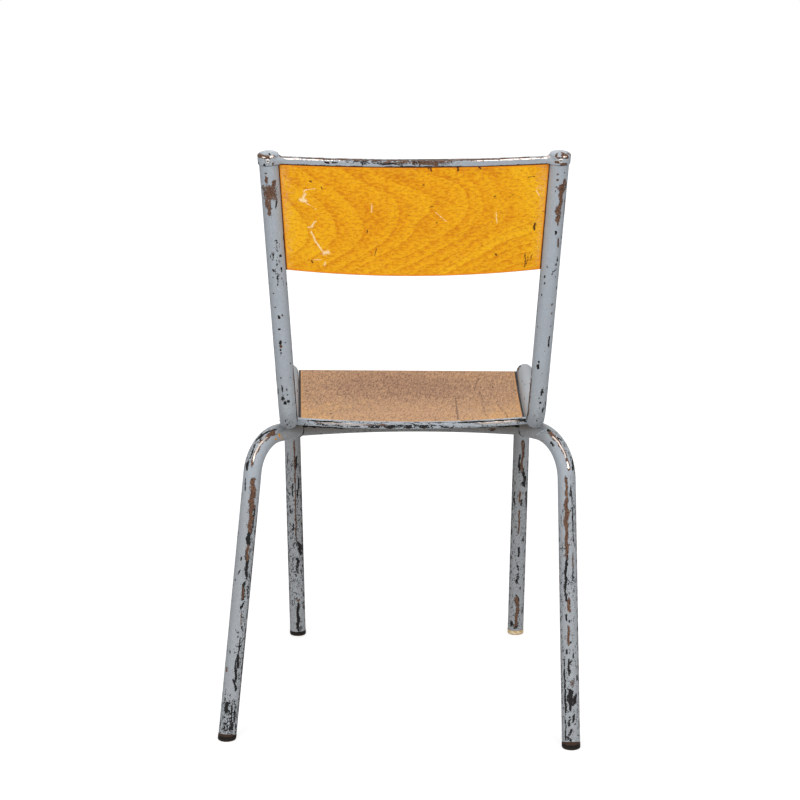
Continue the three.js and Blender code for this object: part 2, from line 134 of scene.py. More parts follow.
def quads(rings, sides, closed=False):
    """Faces between rings of points. On a closed piece the last ring is joined to the first."""
    faces = []
    for i in range(rings if closed else rings - 1):
        low, high = i * sides, (i + 1) % rings * sides
        for k in range(sides):
            n = (k + 1) % sides
            faces.append((low + k, low + n, high + n, high + k))
    return faces


def ring_faces(rings, sides):
    return quads(rings, sides) + [tuple(reversed(range(sides))), tuple(range((rings - 1) * sides, rings * sides))]


def distance_along(points):
    return np.concatenate(([0], np.cumsum(np.linalg.norm(np.diff(points, axis=0), axis=1))))


def swept(points, ways, guide, section):
    """Rings of a section carried along a line. Its second axis stays as near the guide as it can."""
    guides = guide - ways * (ways @ guide)[:, None]
    guides /= np.linalg.norm(guides, axis=1)[:, None]
    normals = np.cross(guides, ways)
    rings = points[:, None] + section[:, :1] * normals[:, None] + section[:, 1:] * guides[:, None]
    return rings, distance_along(points)


def circle(sides):
    turn = np.arange(sides) * 2 * np.pi / sides
    return np.cos(turn)[:, None], np.sin(turn)[:, None]


class Wear:
    """Where the paint has gone to brown bare steel, black chips or bright metal, and where it is grimy.

    Each worn place is listed under its kind: its start and end along the piece in millimetres, its
    angle round it in degrees from behind, its width, how much of it is gone, and how far it leans.
    Some black places and some grime are painted shade, as noted where they are listed.
    """

    kinds = {"brown": 0, "black": 1, "bright": 2, "grime": 3}
    waviness, wave = 0.16, 3.7  # a worn place wanders by this share of its width, over this many millimetres

    def __init__(self, along, around, radius, chips=0.3):
        self.along = along * 1000
        self.around = around
        self.radius = radius * 1000
        self.amount = np.zeros(along.shape + (4,))
        self.amount[..., 1] = chips

    def patch(self, kind, start, end, side, width, depth=1.0, lean=0.0):
        middle, half = (start + end) / 2, (end - start) / 2
        ahead = (self.along - middle) / half
        wander = self.waviness * width * np.sin(self.along / self.wave + start) * min(half / width, 1)
        apart = (self.around - side - lean * ahead + 180) % 360 - 180
        across = (np.radians(apart) * self.radius + wander) / (width / 2)
        blob = depth * np.exp(-0.45 * np.abs(across) ** 2.5 - 0.5 * np.abs(ahead) ** 6)
        layer = self.amount[..., self.kinds[kind]]
        np.maximum(layer, blob, out=layer)

    def patches(self, places):
        for kind, rows in places.items():
            for row in rows:
                self.patch(kind, *row)

    def scatter(self, seed, count, low, high, clear=75):
        """Worn streaks at random, further round than the clear angle each way from behind."""
        chance = np.random.default_rng(seed)
        for _ in range(count):
            start = chance.uniform(low, high)
            length = chance.uniform(4, 14) if chance.random() < 0.6 else chance.uniform(15, 55)
            side = chance.uniform(clear, 360 - clear)
            width = chance.uniform(1.6, 4.5)
            kind = "brown" if chance.random() < 0.4 else "black"
            self.patch(kind, start, start + length, side, width, chance.uniform(0.65, 1), chance.uniform(-6, 6))

    def grow(self, kind, start, end, amount):
        """More chips, or duller and darker paint, from the start on and in full beyond the end."""
        share = np.clip((self.along - start) / (end - start), 0, 1)
        layer = self.amount[..., self.kinds[kind]]
        np.maximum(layer, share * amount, out=layer)


def painted_tube(name, line, guide, radius, rear_angle, seed):
    """A painted round tube with its surface places, and its wear, ready to be patched."""
    section = np.hstack(circle(tube_sides)) * radius
    rings, along = swept(*line, guide, section)
    piece = smooth_piece(name, rings, ring_faces(len(rings), tube_sides))
    around = (np.arange(tube_sides) * 360 / tube_sides - rear_angle + 180) % 360 - 180
    along, around, x, y = np.broadcast_arrays(along[:, None], around, section[:, 0] + seed, section[:, 1])
    store(piece, "surface_place", np.stack((x, y, along), axis=2))
    return piece, Wear(along, around, radius)


def keep_wear(piece, wear):
    store(piece, "wear", wear.amount, "FLOAT_COLOR")


def new_group(name, inputs, outputs):
    """A shader node group with named sockets: the group, its helper, what it is given and what it makes."""
    group = bpy.data.node_groups.new(name, "ShaderNodeTree")
    for way, sockets in (("INPUT", inputs), ("OUTPUT", outputs)):
        for label, kind in sockets.items():
            group.interface.new_socket(label, in_out=way, socket_type="NodeSocket" + kind)
    n = Nodes(group)
    return group, n, n.add("NodeGroupInput").outputs, n.add("NodeGroupOutput").inputs


def new_material(name):
    """A material, its node helper and the inputs of its shader."""
    material = bpy.data.materials.new(name)
    material.use_nodes = True
    return material, Nodes(material.node_tree), material.node_tree.nodes["Principled BSDF"].inputs


class Nodes:
    """Adds nodes to a tree and links them, so that a material reads as a list of steps."""

    def __init__(self, tree):
        self.tree = tree

    def add(self, kind, **settings):
        node = self.tree.nodes.new(kind)
        for key, value in settings.items():
            setattr(node, key, value)
        return node

    def put(self, value, socket):
        if isinstance(value, bpy.types.NodeSocket):
            self.tree.links.new(value, socket)
        else:
            socket.default_value = value

    def made(self, kind, values=None, **settings):
        """The outputs of a new node, which has these values or links at its named or numbered inputs."""
        node = self.add(kind, **settings)
        for label, value in (values or {}).items():
            self.put(value, node.inputs[label])
        return node.outputs

    def math(self, operation, a, b=0.0):
        return self.made("ShaderNodeMath", {0: a, 1: b}, operation=operation)[0]

    def times(self, a, b):
        return self.math("MULTIPLY", a, b)

    def plus(self, a, b):
        return self.math("ADD", a, b)

    def minus(self, a, b):
        return self.math("SUBTRACT", a, b)

    def most(self, a, b):
        return self.math("MAXIMUM", a, b)

    def least(self, a, b):
        return self.math("MINIMUM", a, b)

    def scale(self, vector, factors):
        return self.made("ShaderNodeVectorMath", {0: vector, 1: factors}, operation="MULTIPLY")[0]

    def shift(self, vector, offset):
        return self.made("ShaderNodeVectorMath", {0: vector, 1: offset}, operation="ADD")[0]

    def dot(self, a, b):
        return self.made("ShaderNodeVectorMath", {0: a, 1: b}, operation="DOT_PRODUCT")["Value"]

    def length(self, vector):
        return self.made("ShaderNodeVectorMath", {0: vector}, operation="LENGTH")["Value"]

    def combine(self, x, y, z):
        return self.made("ShaderNodeCombineXYZ", {0: x, 1: y, 2: z})[0]

    def axes(self, vector):
        return self.made("ShaderNodeSeparateXYZ", {0: vector})

    def colours(self, colour):
        return self.made("ShaderNodeSeparateColor", {0: colour})

    def stored(self, name):
        """What the points of a piece keep under a name: its value, vector or colour."""
        return self.made("ShaderNodeAttribute", attribute_name=name)

    def noise(self, vector, scale, detail=4.0, roughness=0.55, distortion=0.0):
        values = {"Vector": vector, "Scale": scale, "Detail": detail, "Roughness": roughness}
        return self.made("ShaderNodeTexNoise", {**values, "Distortion": distortion})["Fac"]

    def mix(self, share, a, b, blend="MIX"):
        """The first colour where the share is 0, and the second where it is 1."""
        return self.made("ShaderNodeMix", {"Factor": share, 6: a, 7: b}, data_type="RGBA", blend_type=blend)[2]

    def blend(self, share, a, b):
        return self.made("ShaderNodeMix", {"Factor": share, 2: a, 3: b}, data_type="FLOAT")[0]

    def coat(self, colour, tint, mask, amount):
        """A tint laid over a colour inside a mask, as strong as the amount."""
        return self.mix(self.times(mask, amount), colour, tint)

    def above(self, value, level, softness):
        """0 below the level and 1 above it, over a short stretch."""
        values = {"Value": value, "From Min": level - softness / 2, "From Max": level + softness / 2}
        return self.made("ShaderNodeMapRange", values, interpolation_type="SMOOTHSTEP")["Result"]

    def below(self, value, level, softness):
        return self.minus(1.0, self.above(value, level, softness))

    def use(self, group, **values):
        """The outputs of a shared node group with its inputs set."""
        return self.made("ShaderNodeGroup", values, node_tree=group)

    def bump(self, height, strength, distance, look):
        values = {"Strength": strength, "Distance": distance, "Height": height}
        self.put(self.made("ShaderNodeBump", values)[0], look["Normal"])


def chipped_paint_group():
    """Paint that has chipped to black, worn to brown bare steel and rubbed bright on the ridges. Its black and its
    grime also carry painted shade where a piece's wear says so.
    """
    group, n, given, made = new_group(
        "chipped_paint",
        {"Place": "Vector", "Wear": "Color", "Grime": "Float", "Paint": "Color"},
        {"Color": "Color", "Roughness": "Float", "Metallic": "Float", "Height": "Float"},
    )
    place = given["Place"]
    browned, blackened, rubbed = n.colours(given["Wear"])
    drawn = n.scale(place, (1, 1, 0.58))
    ragged = n.noise(drawn, 300, 5, 0.62, 0.4)
    fine = n.noise(n.shift(drawn, (3.1, 1.7, 0.4)), 920, 3, 0.6)
    cloud = n.noise(place, 22, 3)
    grain = n.noise(n.shift(place, (1.3, 0.2, 2.2)), 1500, 2)

    # each kind of wear breaks through where its drawn amount and the ragged noise add up past a level
    rag = n.minus(n.plus(n.times(ragged, 0.48), n.times(fine, 0.52)), 0.5)
    blackened = n.plus(n.times(blackened, 2.2), n.times(rag, 5.0))
    lip = n.above(blackened, 1.08, 0.3)
    black = n.above(blackened, 1.32, 0.12)
    browned = n.plus(n.times(browned, 1.9), n.times(rag, 5.6))
    rim = n.above(browned, 0.98, 0.12)
    brown = n.above(browned, 1.18, 0.12)
    bright = n.above(n.plus(rubbed, n.times(n.minus(fine, 0.5), 1.3)), 0.5, 0.12)

    shade = n.blend(cloud, 0.90, 1.08)
    mottle = n.mix(cloud, (0.93, 0.93, 0.92, 1), (1.05, 1.06, 1.07, 1))
    mottle = n.mix(n.above(fine, 0.5, 0.35), n.mix(0.10, mottle, (0, 0, 0, 1)), mottle)
    paint = n.mix(1.0, given["Paint"], mottle, "MULTIPLY")
    # Grime dulls the paint towards its tint; on the rear cross tube and the stubs this is painted shade under the
    # seat.
    paint = n.mix(given["Grime"], paint, n.mix(1.0, paint, grime_and_shade_tint, "MULTIPLY"))
    speck = n.above(n.noise(n.shift(place, (0.7, 2.9, 1.1)), 900, 2), 0.66, 0.06)
    paint = n.coat(paint, fly_speck, speck, 0.45)
    paint = n.coat(paint, chip_lip, lip, 0.35)
    colour = n.mix(n.most(black, rim), paint, n.mix(fine, *chip_black))
    colour = n.mix(brown, colour, n.mix(n.above(fine, 0.5, 0.25), *bare_steel))
    colour = n.mix(bright, colour, bright_steel)
    n.put(colour, made["Color"])

    bare = n.most(n.most(black, rim), bright)
    rough = n.blend(bare, n.blend(grain, 0.38, 0.50), 0.75)
    n.put(n.blend(bright, rough, 0.28), made["Roughness"])
    n.put(n.times(bright, 0.85), made["Metallic"])
    height = n.minus(n.times(shade, 0.35), bare)
    n.put(n.plus(height, n.times(grain, 0.12)), made["Height"])
    return group


chipped_paint = chipped_paint_group()


def painted_steel():
    """Grey enamel over steel, with the wear and the painted shade that its piece carries."""
    material, n, look = new_material("frame_paint")
    place, wear = n.stored("surface_place")["Vector"], n.stored("wear")
    chipped = n.use(chipped_paint, Place=place, Wear=wear["Color"], Grime=wear["Alpha"], Paint=grey_paint)
    colour = n.mix(n.above(n.stored("splash")["Fac"], 0.5, 0.2), chipped["Color"], orange_drops)
    n.put(colour, look["Base Color"])
    n.put(chipped["Roughness"], look["Roughness"])
    n.put(chipped["Metallic"], look["Metallic"])
    n.bump(chipped["Height"], 0.55, 0.0004, look)
    look["Specular IOR Level"].default_value = 0.14
    return material


frame_paint = painted_steel()


def at(side, half_span, back, height):
    return np.array((side * half_span, back, height))


def front_foot(side):
    return at(side, front_foot_half_span, -rail_length - front_foot_reach, 0)


def above_glide(foot, corner):
    """The lower end of a leg tube, which stands on its glide."""
    return foot + (corner - foot) * glide_height / corner[2]


def front_corner(side):
    return at(side, front_half_span, -rail_length, rail_height + rail_rise)


def side_line(side):
    top = at(side, top_half_span, upright_lean, upright_height)
    knee = at(side, knee_half_span, 0, rail_height)
    foot = above_glide(front_foot(side), front_corner(side))
    return bent_line([top, knee, front_corner(side), foot], (knee_bend_radius, front_bend_radius))


# the knee corners' place in the frame, from the solids of the two side tubes
left_low, left_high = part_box("side_tube_left")
right_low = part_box("side_tube_right")[0]
reach = side_line(LEFT)[0][:, 1]
set_back = (left_low[1] + left_high[1]) / 2 - (reach.min() + reach.max()) / 2
chair_place = np.array(((left_high[0] + right_low[0]) / 2, set_back, 0))


def placed(line):
    return line[0] + chair_place, line[1]


def finish_piece(piece, material, slot, *nodes):
    """Its material, its slot (not used), the solids that it stands for, and the body it rides on."""
    piece.data.materials.append(material)
    if nodes:
        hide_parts(*nodes)
    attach(piece, "root")


# The long black bands at 72° to 76° each way from behind, down the upright and the front leg, darken the tube's
# sides as painted shade.
side_tube_wear_and_shade = {  # down the upright from its top, then down the front leg
    LEFT: {
        "brown": [
            (20, 23, 19, 2.9, 0.9), (27, 35, 16, 3.9, 0.95, -1), (32, 40, -30, 5.2), (37, 60, 2, 19, 0.82, 2),
            (57, 72, 17, 8.5, 0.8, 2), (70, 80, 17, 4.7, 0.9), (221, 224, -17, 2.1, 0.95), (265, 270, 7, 3.3, 0.95),
            (300, 330, -80, 2.6, 0.66), (308, 345, -72, 2.2, 0.95), (848, 871, -14, 2.5, 0.95),
            (871, 923, -13, 2.4, 0.95, 1), (923, 1008, -10, 2.1, 0.92, 3), (1108, 1113, -9, 3.5),
        ],
        "black": [
            (20, 60, 30, 22, 0.44), (57, 65, -40, 1.8, 0.95, 1), (60, 72, -29, 3.4, 0.8, 2),
            (70, 85, 5, 5.3, 0.5, 2), (100, 190, -10, 18, 0.47), (110, 400, 76, 6, 0.55), (113, 120, -17, 3, 0.8),
            (114, 117, -6, 1.7, 0.95), (121, 134, -16, 1.8, 0.7), (131, 138, 12, 4.3, 0.74),
            (136, 139, 30, 1.7, 0.95), (136, 140, -33, 4.3, 0.95), (137, 144, 18, 5.6, 0.74),
            (141, 156, -7, 2.2, 0.66), (154, 157, -33, 3.3, 0.9), (156, 159, 18, 3.8, 0.9),
            (156, 161, -36, 1.9, 0.9), (158, 162, -82, 2.4, 0.95), (160, 174, -4, 2.4, 0.7),
            (166, 169, 24, 2.1, 0.95), (167, 183, -38, 1.6, 0.7), (175, 260, -78, 3, 0.64),
            (176, 179, -1, 2.4, 0.95), (178, 182, -69, 2.9, 0.95), (189, 192, 30, 2.4, 0.95),
            (209, 212, 27, 2.4, 0.95), (222, 228, 6, 3.3, 0.95), (241, 244, 9, 4.3, 0.95), (250, 300, -76, 3, 0.62),
            (259, 266, 9, 4.3, 0.85), (261, 264, -21, 2.6, 0.95), (271, 274, 12, 2.4, 0.95),
            (276, 279, 9, 2.4, 0.95), (294, 296, -47, 2.4, 0.95), (312, 396, -82, 3.2, 0.85),
            (314, 316, 25, 2.1, 0.95), (314, 316, -35, 2.1, 0.95), (318, 398, -75, 3, 0.88), (320, 400, 0, 26, 0.46),
            (326, 338, 22, 2.9, 0.72), (331, 334, -7, 2.1, 0.95), (332, 345, 58, 2.2, 0.85),
            (339, 341, -9, 3.3, 0.95), (343, 350, 21, 7.1, 0.75), (348, 352, -11, 3.8, 0.95),
            (349, 355, 9, 4.2, 0.95), (376, 379, 15, 1.9, 0.95), (384, 387, 8, 2.2, 0.95),
            (389, 392, -14, 2.2, 0.95), (392, 395, 20, 2.2, 0.95), (850, 1165, 0, 60, 0.55),
            (850, 1165, 72, 10, 0.66), (850, 1165, -72, 10, 0.66), (866, 896, 40, 2.5, 0.75, 2),
            (873, 896, -24, 3.5, 1, 7), (898, 948, -13, 1.9, 0.85, 1), (908, 941, -36, 3.1, 1, 9),
            (916, 938, 8, 3.1, 0.75), (953, 968, 32, 2.8, 0.75), (963, 996, -72, 2.5, 0.9, 2),
            (973, 1013, -11, 2.2, 0.85, 1), (978, 1003, 10, 2.5, 0.75, 1), (996, 1036, -69, 3.2, 1, 1),
            (1013, 1028, -31, 12.7, 0.86, -20), (1023, 1036, -37, 7.1, 0.95, -4), (1038, 1068, -15, 5.7, 0.8, 1),
            (1058, 1081, 3, 3.2, 0.7, 1), (1101, 1121, 36, 5.6, 0.66), (1103, 1131, -56, 4.5, 0.66),
            (1113, 1163, -7, 5.1, 1, 2), (1143, 1163, -29, 8, 0.62), (1151, 1163, 25, 8, 0.5, -1),
        ],
    },
    RIGHT: {
        "brown": [
            (22, 25, 12, 2.9, 0.95, -1), (30, 33, 9, 2.6, 0.9), (30, 40, -34, 3.9, 1, 2),
            (35, 45, -53, 2.6, 0.95, -1), (37, 50, -27, 8.1, 1, 2), (41, 44, 4, 3.1, 0.95, -16), (47, 62, -23, 5.2),
            (57, 87, -64, 2.6, 0.85, -2), (60, 72, -20, 4.2, 1, 3), (67, 80, -16, 6.8, 1, 1),
            (80, 90, -14, 5.8, 1, 1), (87, 95, -18, 2.4, 0.95, -3), (112, 127, -33, 2.6, 0.9, -2),
            (206, 209, -30, 1.9, 0.9), (219, 222, -33, 1.9, 0.95), (322, 380, 71, 2.4, 0.98),
            (330, 366, 84, 2.8, 0.8), (848, 871, -7, 3.4), (871, 901, -5, 3.1, 1, 1), (931, 951, 2, 2.8, 0.9, -1),
            (961, 1001, 2, 2.4, 0.85, -1), (1106, 1123, 1, 6.1, 1, -3), (1123, 1138, -2, 4.8, 1, -1),
            (1136, 1156, 3, 3.8, 1, 4),
        ],
        "black": [
            (20, 23, -29, 2.3, 0.9), (45, 50, 17, 3.4, 0.6, -2), (72, 80, 0, 1.8, 0.9, -3), (80, 130, -60, 4, 0.56),
            (102, 108, -12, 3.3, 0.95), (110, 400, -76, 6, 0.58), (113, 123, -35, 2.9, 0.8), (130, 250, 78, 3, 0.66),
            (138, 148, -37, 2.4, 0.8), (148, 152, -33, 2.4, 0.9), (151, 156, 22, 1.8, 0.9, -7),
            (155, 162, -26, 2.4, 1, 17), (162, 165, -10, 3.4, 0.9), (166, 170, 33, 2.9, 0.9),
            (166, 170, -36, 1.9, 0.9), (176, 179, 30, 2.4, 0.95), (182, 188, -61, 2.4, 0.95),
            (194, 197, 45, 1.9, 0.95), (239, 241, -35, 1.9, 0.95), (241, 244, 54, 2.1, 0.95),
            (254, 271, -33, 2.5, 1), (290, 295, 21, 3, 0.95), (296, 304, 24, 3.8, 1), (300, 345, 76, 3, 0.66),
            (309, 311, -7, 1.9, 0.95), (316, 398, 75, 3, 0.88), (320, 400, -30, 26, 0.47), (332, 343, -15, 4, 0.85),
            (340, 400, 88, 3.4, 0.9), (351, 355, -10, 3.2, 1), (352, 362, -52, 2.9, 0.8), (360, 366, -38, 5.4, 0.8),
            (366, 369, -31, 3.3, 0.8), (377, 380, 0, 1.9, 0.95), (386, 396, -6, 2.9, 0.7), (850, 1165, 0, 60, 0.49),
            (850, 1165, 72, 10, 0.62), (850, 1165, -72, 10, 0.66), (851, 878, -18, 2.2, 0.9),
            (871, 903, 14, 4.1, 0.85), (883, 896, -66, 3.1, 0.85, -5), (893, 926, -25, 7.2, 0.86, -8),
            (931, 961, 46, 4.7, 0.78, -2), (931, 961, -54, 5.7, 0.82, -3), (946, 958, -8, 3.2, 0.8),
            (983, 1048, 46, 4.8, 0.45, -4), (1008, 1018, -36, 4.4, 0.8, 1), (1023, 1041, -1, 4.4, 0.85),
            (1053, 1063, 2, 3.8, 0.9), (1063, 1086, 3, 6.7, 0.68), (1103, 1116, 4, 7.3, 0.9, -3),
            (1116, 1136, -12, 2.6, 0.95, -1), (1123, 1126, 34, 2.2, 0.9, 8), (1123, 1136, -43, 5.1, 0.7),
            (1146, 1158, 34, 8.3, 0.8, -2), (1148, 1161, 4, 7.4, 0.8, 6),
        ],
    },
}
for word, side in SIDES:
    tube, wear = painted_tube(f"side_tube_{word}_painted", placed(side_line(side)), ACROSS, tube_radius, 0, side)
    wear.patches(side_tube_wear_and_shade[side])
    wear.scatter(21 + side, count=34, low=10, high=380)
    wear.scatter(31 + side, count=26, low=390, high=720, clear=0)
    wear.scatter(41 + side, count=34, low=740, high=1140, clear=80)
    wear.grow("black", 850, 1120, 0.47)
    wear.grow("grime", 290, 400, 0.40)
    wear.grow("grime", 700, 820, 0.55)
    keep_wear(tube, wear)
    finish_piece(tube, frame_paint, "grey_paint", f"side_tube_{word}")


# ---------------------------------------------------------------- Rear legs
# Each rear leg is one bent tube. Its stub runs in under the seat rail, where it is
# saddled and welded, and the leg is splayed. Use has spread the two unevenly.
elbow_forward = 0.006
elbow_height = 0.407
elbow_half_span = {LEFT: 0.2167, RIGHT: 0.2133}
elbow_radius = {LEFT: 0.058, RIGHT: 0.074}
rear_foot_half_span = {LEFT: 0.2577, RIGHT: 0.215}
rear_foot_back = {LEFT: 0.080, RIGHT: 0.1195}
stub_half_span = 0.1615
stub_forward = 0.0725
stub_height = 0.406


def stub_end(side):
    return at(side, stub_half_span, -stub_forward, stub_height)


def elbow(side):
    return at(side, elbow_half_span[side], -elbow_forward, elbow_height)


def rear_foot(side):
    return at(side, rear_foot_half_span[side], rear_foot_back[side], 0)


def leg_line(side):
    corners = [stub_end(side), elbow(side), above_glide(rear_foot(side), elbow(side))]
    return bent_line(corners, (elbow_radius[side],))


# The black on top of each stub's inner end, from -8 to 27 mm at 64° each way, is a painted shadow under the seat
# channel, and the long black bands at about 74° each way darken the legs' sides as painted shade.
rear_leg_wear_and_shade = {  # along the leg from its inner end
    LEFT: {
        "brown": [
            (55, 66, 22, 5.9, 1, -3), (64, 84, 17, 5, 1, -2), (84, 113, 12, 3.6, 1, -3), (126, 141, -14, 5.8),
            (138, 168, -17, 7.2, 1, -4), (166, 201, -19, 5.5, 1, -3), (219, 241, -20, 3.6, 0.9, -2),
            (276, 294, -13, 2.2, 0.9), (311, 331, -17, 1.2, 0.9, -3), (389, 396, 47, 2.8),
        ],
        "black": [
            (-8, 27, 64, 9, 1), (-3, 1.5, 0, 90, 1), (50, 61, 40, 2.6, 1, -1), (50, 120, 50, 14, 0.56),
            (59, 77, 52, 3.3, 1, 9), (60, 490, 74, 7, 0.54), (72, 79, 57, 5, 1, 3), (84, 104, 38, 1.8, 1, -8),
            (106, 118, 40, 4.4, 1, -3), (120, 490, -74, 9, 0.64), (122, 200, -17, 12, 0.52),
            (126, 146, 40, 2.1, 1, -3), (128, 190, -8, 2, 0.58, -3), (130, 205, -27, 3.4, 0.66, -4),
            (163, 196, -39, 2.8), (176, 224, -76, 1.9, 0.95, -4), (193, 221, -19, 6.1, 1, 2),
            (195, 262, -28, 5.6, 0.66, -4), (200, 300, -40, 20, 0.56), (219, 266, -22, 5, 0.95, -6),
            (224, 261, -78, 1.9, 0.9), (236, 241, 17, 1.9), (254, 261, 24, 1.7, 1, 6), (256, 299, -52, 6.9, 0.62, 6),
            (262, 330, -24, 9, 0.58, -2), (266, 271, 47, 1.9, 1, 2), (269, 296, -15, 3.9, 1, 2),
            (290, 430, -35, 20, 0.55), (299, 309, -17, 2.6, 1, 5), (328, 331, -40, 1.7, 0.9, 18),
            (339, 364, -69, 2.1, 0.95, -5), (346, 369, -24, 2.1), (361, 411, -68, 2.2), (366, 371, 35, 2.2),
            (369, 391, -23, 4.1, 1, -2), (376, 391, -8, 2.1, 0.95, -1), (389, 409, -19, 3.6),
            (404, 421, -19, 3.6, 0.98, -11), (411, 459, -68, 2.3, 0.95, -3), (416, 429, 39, 3.3, 0.62, -2),
            (425, 490, 0, 64, 0.6), (431, 436, 39, 1.9, 0.9, -1), (436, 451, 23, 5.8, 1, -2),
            (436, 466, -16, 2.2, 1, -4), (446, 464, -37, 2.3, 1, -3), (459, 481, -18, 7.6, 0.75),
            (461, 481, 20, 6.9, 0.7, -8), (464, 481, -56, 5.5, 0.7),
        ],
        "bright": [
            (69, 86, 17, 2.2), (86, 106, 13, 1.8, 0.95, -4),
        ],
    },
    RIGHT: {
        "brown": [
            (55, 72, -24, 5.2, 1, 1), (70, 98, -20, 3.9, 1, 3), (98, 115, -17, 3.3, 1, 1), (122, 150, 7, 3.6, 1, 1),
            (150, 195, 11, 5.5, 1, 2), (193, 233, 12, 4.1, 1, 1), (230, 245, -26, 1.6, 0.9),
            (288, 308, 4, 4.1, 1, -3), (326, 351, 10, 3, 0.92), (378, 388, -65, 2.7, 0.9, 2),
            (401, 411, -4, 5.7, 0.66, -1),
        ],
        "black": [
            (-8, 27, -64, 9, 1), (-3, 1.5, 0, 90, 1), (49, 58, -37, 3.6, 0.95, 6), (50, 120, -55, 14, 0.56),
            (60, 490, -74, 10, 0.62), (67, 77, 15, 3.1, 0.9, 3), (68, 75, -45, 3.6, 0.95, -4),
            (95, 115, -64, 5.8, 1, 14), (110, 230, -40, 24, 0.52), (120, 240, 10, 11, 0.56),
            (130, 163, -25, 1.7, 0.98, -6), (150, 490, 72, 9, 0.6), (160, 178, 28, 3, 0.75), (163, 203, -31, 1.9),
            (170, 195, 44, 3.6, 0.6, -1), (200, 218, -37, 1.7, 0.95, -5), (208, 235, 41, 4.1, 0.62, -3),
            (215, 245, 13, 3.6, 0.9, 2), (220, 330, 0, 56, 0.49), (225, 268, -27, 1.9, 0.9, 2),
            (238, 278, 21, 4, 1, 5), (250, 280, -37, 3.6, 0.6, -3), (275, 293, 23, 3.3, 0.9, -3),
            (300, 308, -1, 2.7, 0.95, -1), (308, 320, 20, 3.6, 0.75, -1), (318, 323, 5, 2.5, 0.9),
            (320, 430, 0, 60, 0.49), (348, 353, 4, 2.5, 0.85, 10), (358, 366, 22, 3.3, 0.85),
            (363, 371, -21, 2.5, 0.9, -1), (366, 386, 41, 2.7, 0.7), (371, 393, 11, 2.9, 0.98, -2),
            (383, 413, 41, 3, 1, -1), (393, 401, -48, 3, 0.9), (411, 436, 3, 8.2, 0.95, -5),
            (411, 448, 38, 3, 1, -1), (418, 433, -28, 6.3, 0.95, 10), (420, 490, 0, 64, 0.5),
            (433, 443, 3, 4.4, 0.85, 2), (446, 458, -13, 3.5, 0.98, 1), (448, 483, 40, 2.5, 0.85, -1),
            (453, 463, 11, 3.8, 0.9, 1), (453, 466, -64, 2.7, 0.95, 3), (466, 476, 8, 4.6, 0.8, 2),
            (473, 483, 26, 4.1, 0.7, -1), (478, 483, 9, 6, 0.85, -4),
        ],
        "bright": [
            (63, 78, -19, 1.6), (78, 98, -18, 1.8, 1, 1), (103, 112, -16, 1.9, 0.95, 1),
        ],
    },
}
for word, side in SIDES:
    leg, wear = painted_tube(f"rear_leg_{word}_painted", placed(leg_line(side)), BACK, tube_radius, 90, 2 + side)
    wear.patches(rear_leg_wear_and_shade[side])
    wear.scatter(51 + side, count=42, low=60, high=470, clear=80)
    wear.grow("black", 300, 470, 0.48)
    wear.grow("grime", 100, 200, 0.40)
    # Grime growing towards the stub's inner end darkens it as painted shade under the seat.
    wear.grow("grime", 80, 40, 0.65)
    keep_wear(leg, wear)
    if side == LEFT:  # three drops of orange paint, beside its weld
        drops = Wear(wear.along / 1000, wear.around, tube_radius)
        drops.patches({"brown": [(49.0, 53.0, -8, 4.6), (58.4, 61.4, -26, 2.8), (44.0, 47.0, -31, 2.8)]})
        store(leg, "splash", drops.amount[..., 0], "FLOAT")
    finish_piece(leg, frame_paint, "grey_paint", f"rear_leg_{word}")


# ---------------------------------------------------------------- Cross tubes
# A bowed tube is butted between the two stubs and welded, so that it clears the next
# chair in a stack. A straight one carries the front of the seat.
rear_cross_radius = 0.011
rear_cross_bow = 0.027
front_cross_radius = 0.009


def bowed_line(start, end, bow, count=80):
    """A shallow arch between two ends, bowed by a vector at its middle."""
    t = np.linspace(0, 1, count + 1)[:, None]
    points = start + (end - start) * t + bow * 4 * t * (1 - t)
    ways = (end - start) + bow * 4 * (1 - 2 * t)
    return points, ways / np.linalg.norm(ways, axis=1)[:, None]


rear_cross_line = placed(bowed_line(stub_end(RIGHT), stub_end(LEFT), -BACK * rear_cross_bow))
rear_cross, wear = painted_tube("rear_cross_tube_painted", rear_cross_line, UP, rear_cross_radius, 0, 5)
# The leaning black lines and the solid black near each end are a painted shadow under the seat channel.
wear.patches({
    "brown": [(40, 50, -12, 2.5, 0.8)],
    "black": [
        (-8, 96, 12, 3, 1, -21), (-6, 30, 30, 7, 1), (0, 330, -48, 7, 0.5), (10, 320, 12, 20, 0.42),
        (38, 52, -20, 5, 0.7), (262, 332, 17, 3, 1, 22), (290, 330, 32, 7, 1),
    ],
})
wear.scatter(71, count=24, low=10, high=310, clear=60)
# Full grime over the whole tube darkens it as painted shade under the seat, as well as dirt.
wear.grow("grime", -2, -1, 1.0)
keep_wear(rear_cross, wear)
finish_piece(rear_cross, frame_paint, "grey_paint", "rear_cross_tube")

cross_low, cross_high = (np.array(c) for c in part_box("front_cross_tube"))
cross_middle = (cross_low + cross_high) / 2 * (0, 1, 1)
front_cross_line = bent_line([cross_middle + cross_low * ACROSS, cross_middle + cross_high * ACROSS], ())
front_cross, wear = painted_tube("front_cross_tube_painted", front_cross_line, UP, front_cross_radius, 0, 6)
keep_wear(front_cross, wear)
finish_piece(front_cross, frame_paint, "grey_paint", "front_cross_tube")


# ---------------------------------------------------------------- Seat channel
# A steel strip pressed into a narrow channel grips the rear edge of the seat. It is
# bowed rearwards between the two seat rails, welded to them and painted with them.
ply_thickness = 0.006
slot_gap = 0.0004
channel_wall = 0.0011
channel_corner = 0.0026
channel_width = ply_thickness + 2 * (slot_gap + channel_wall)
seat_channel_depth = 0.009
seat_rear_lift = 0.0004
seat_front_lift = 0.003
seat_rear_bow = 0.027
seat_rear_forward = 0.020

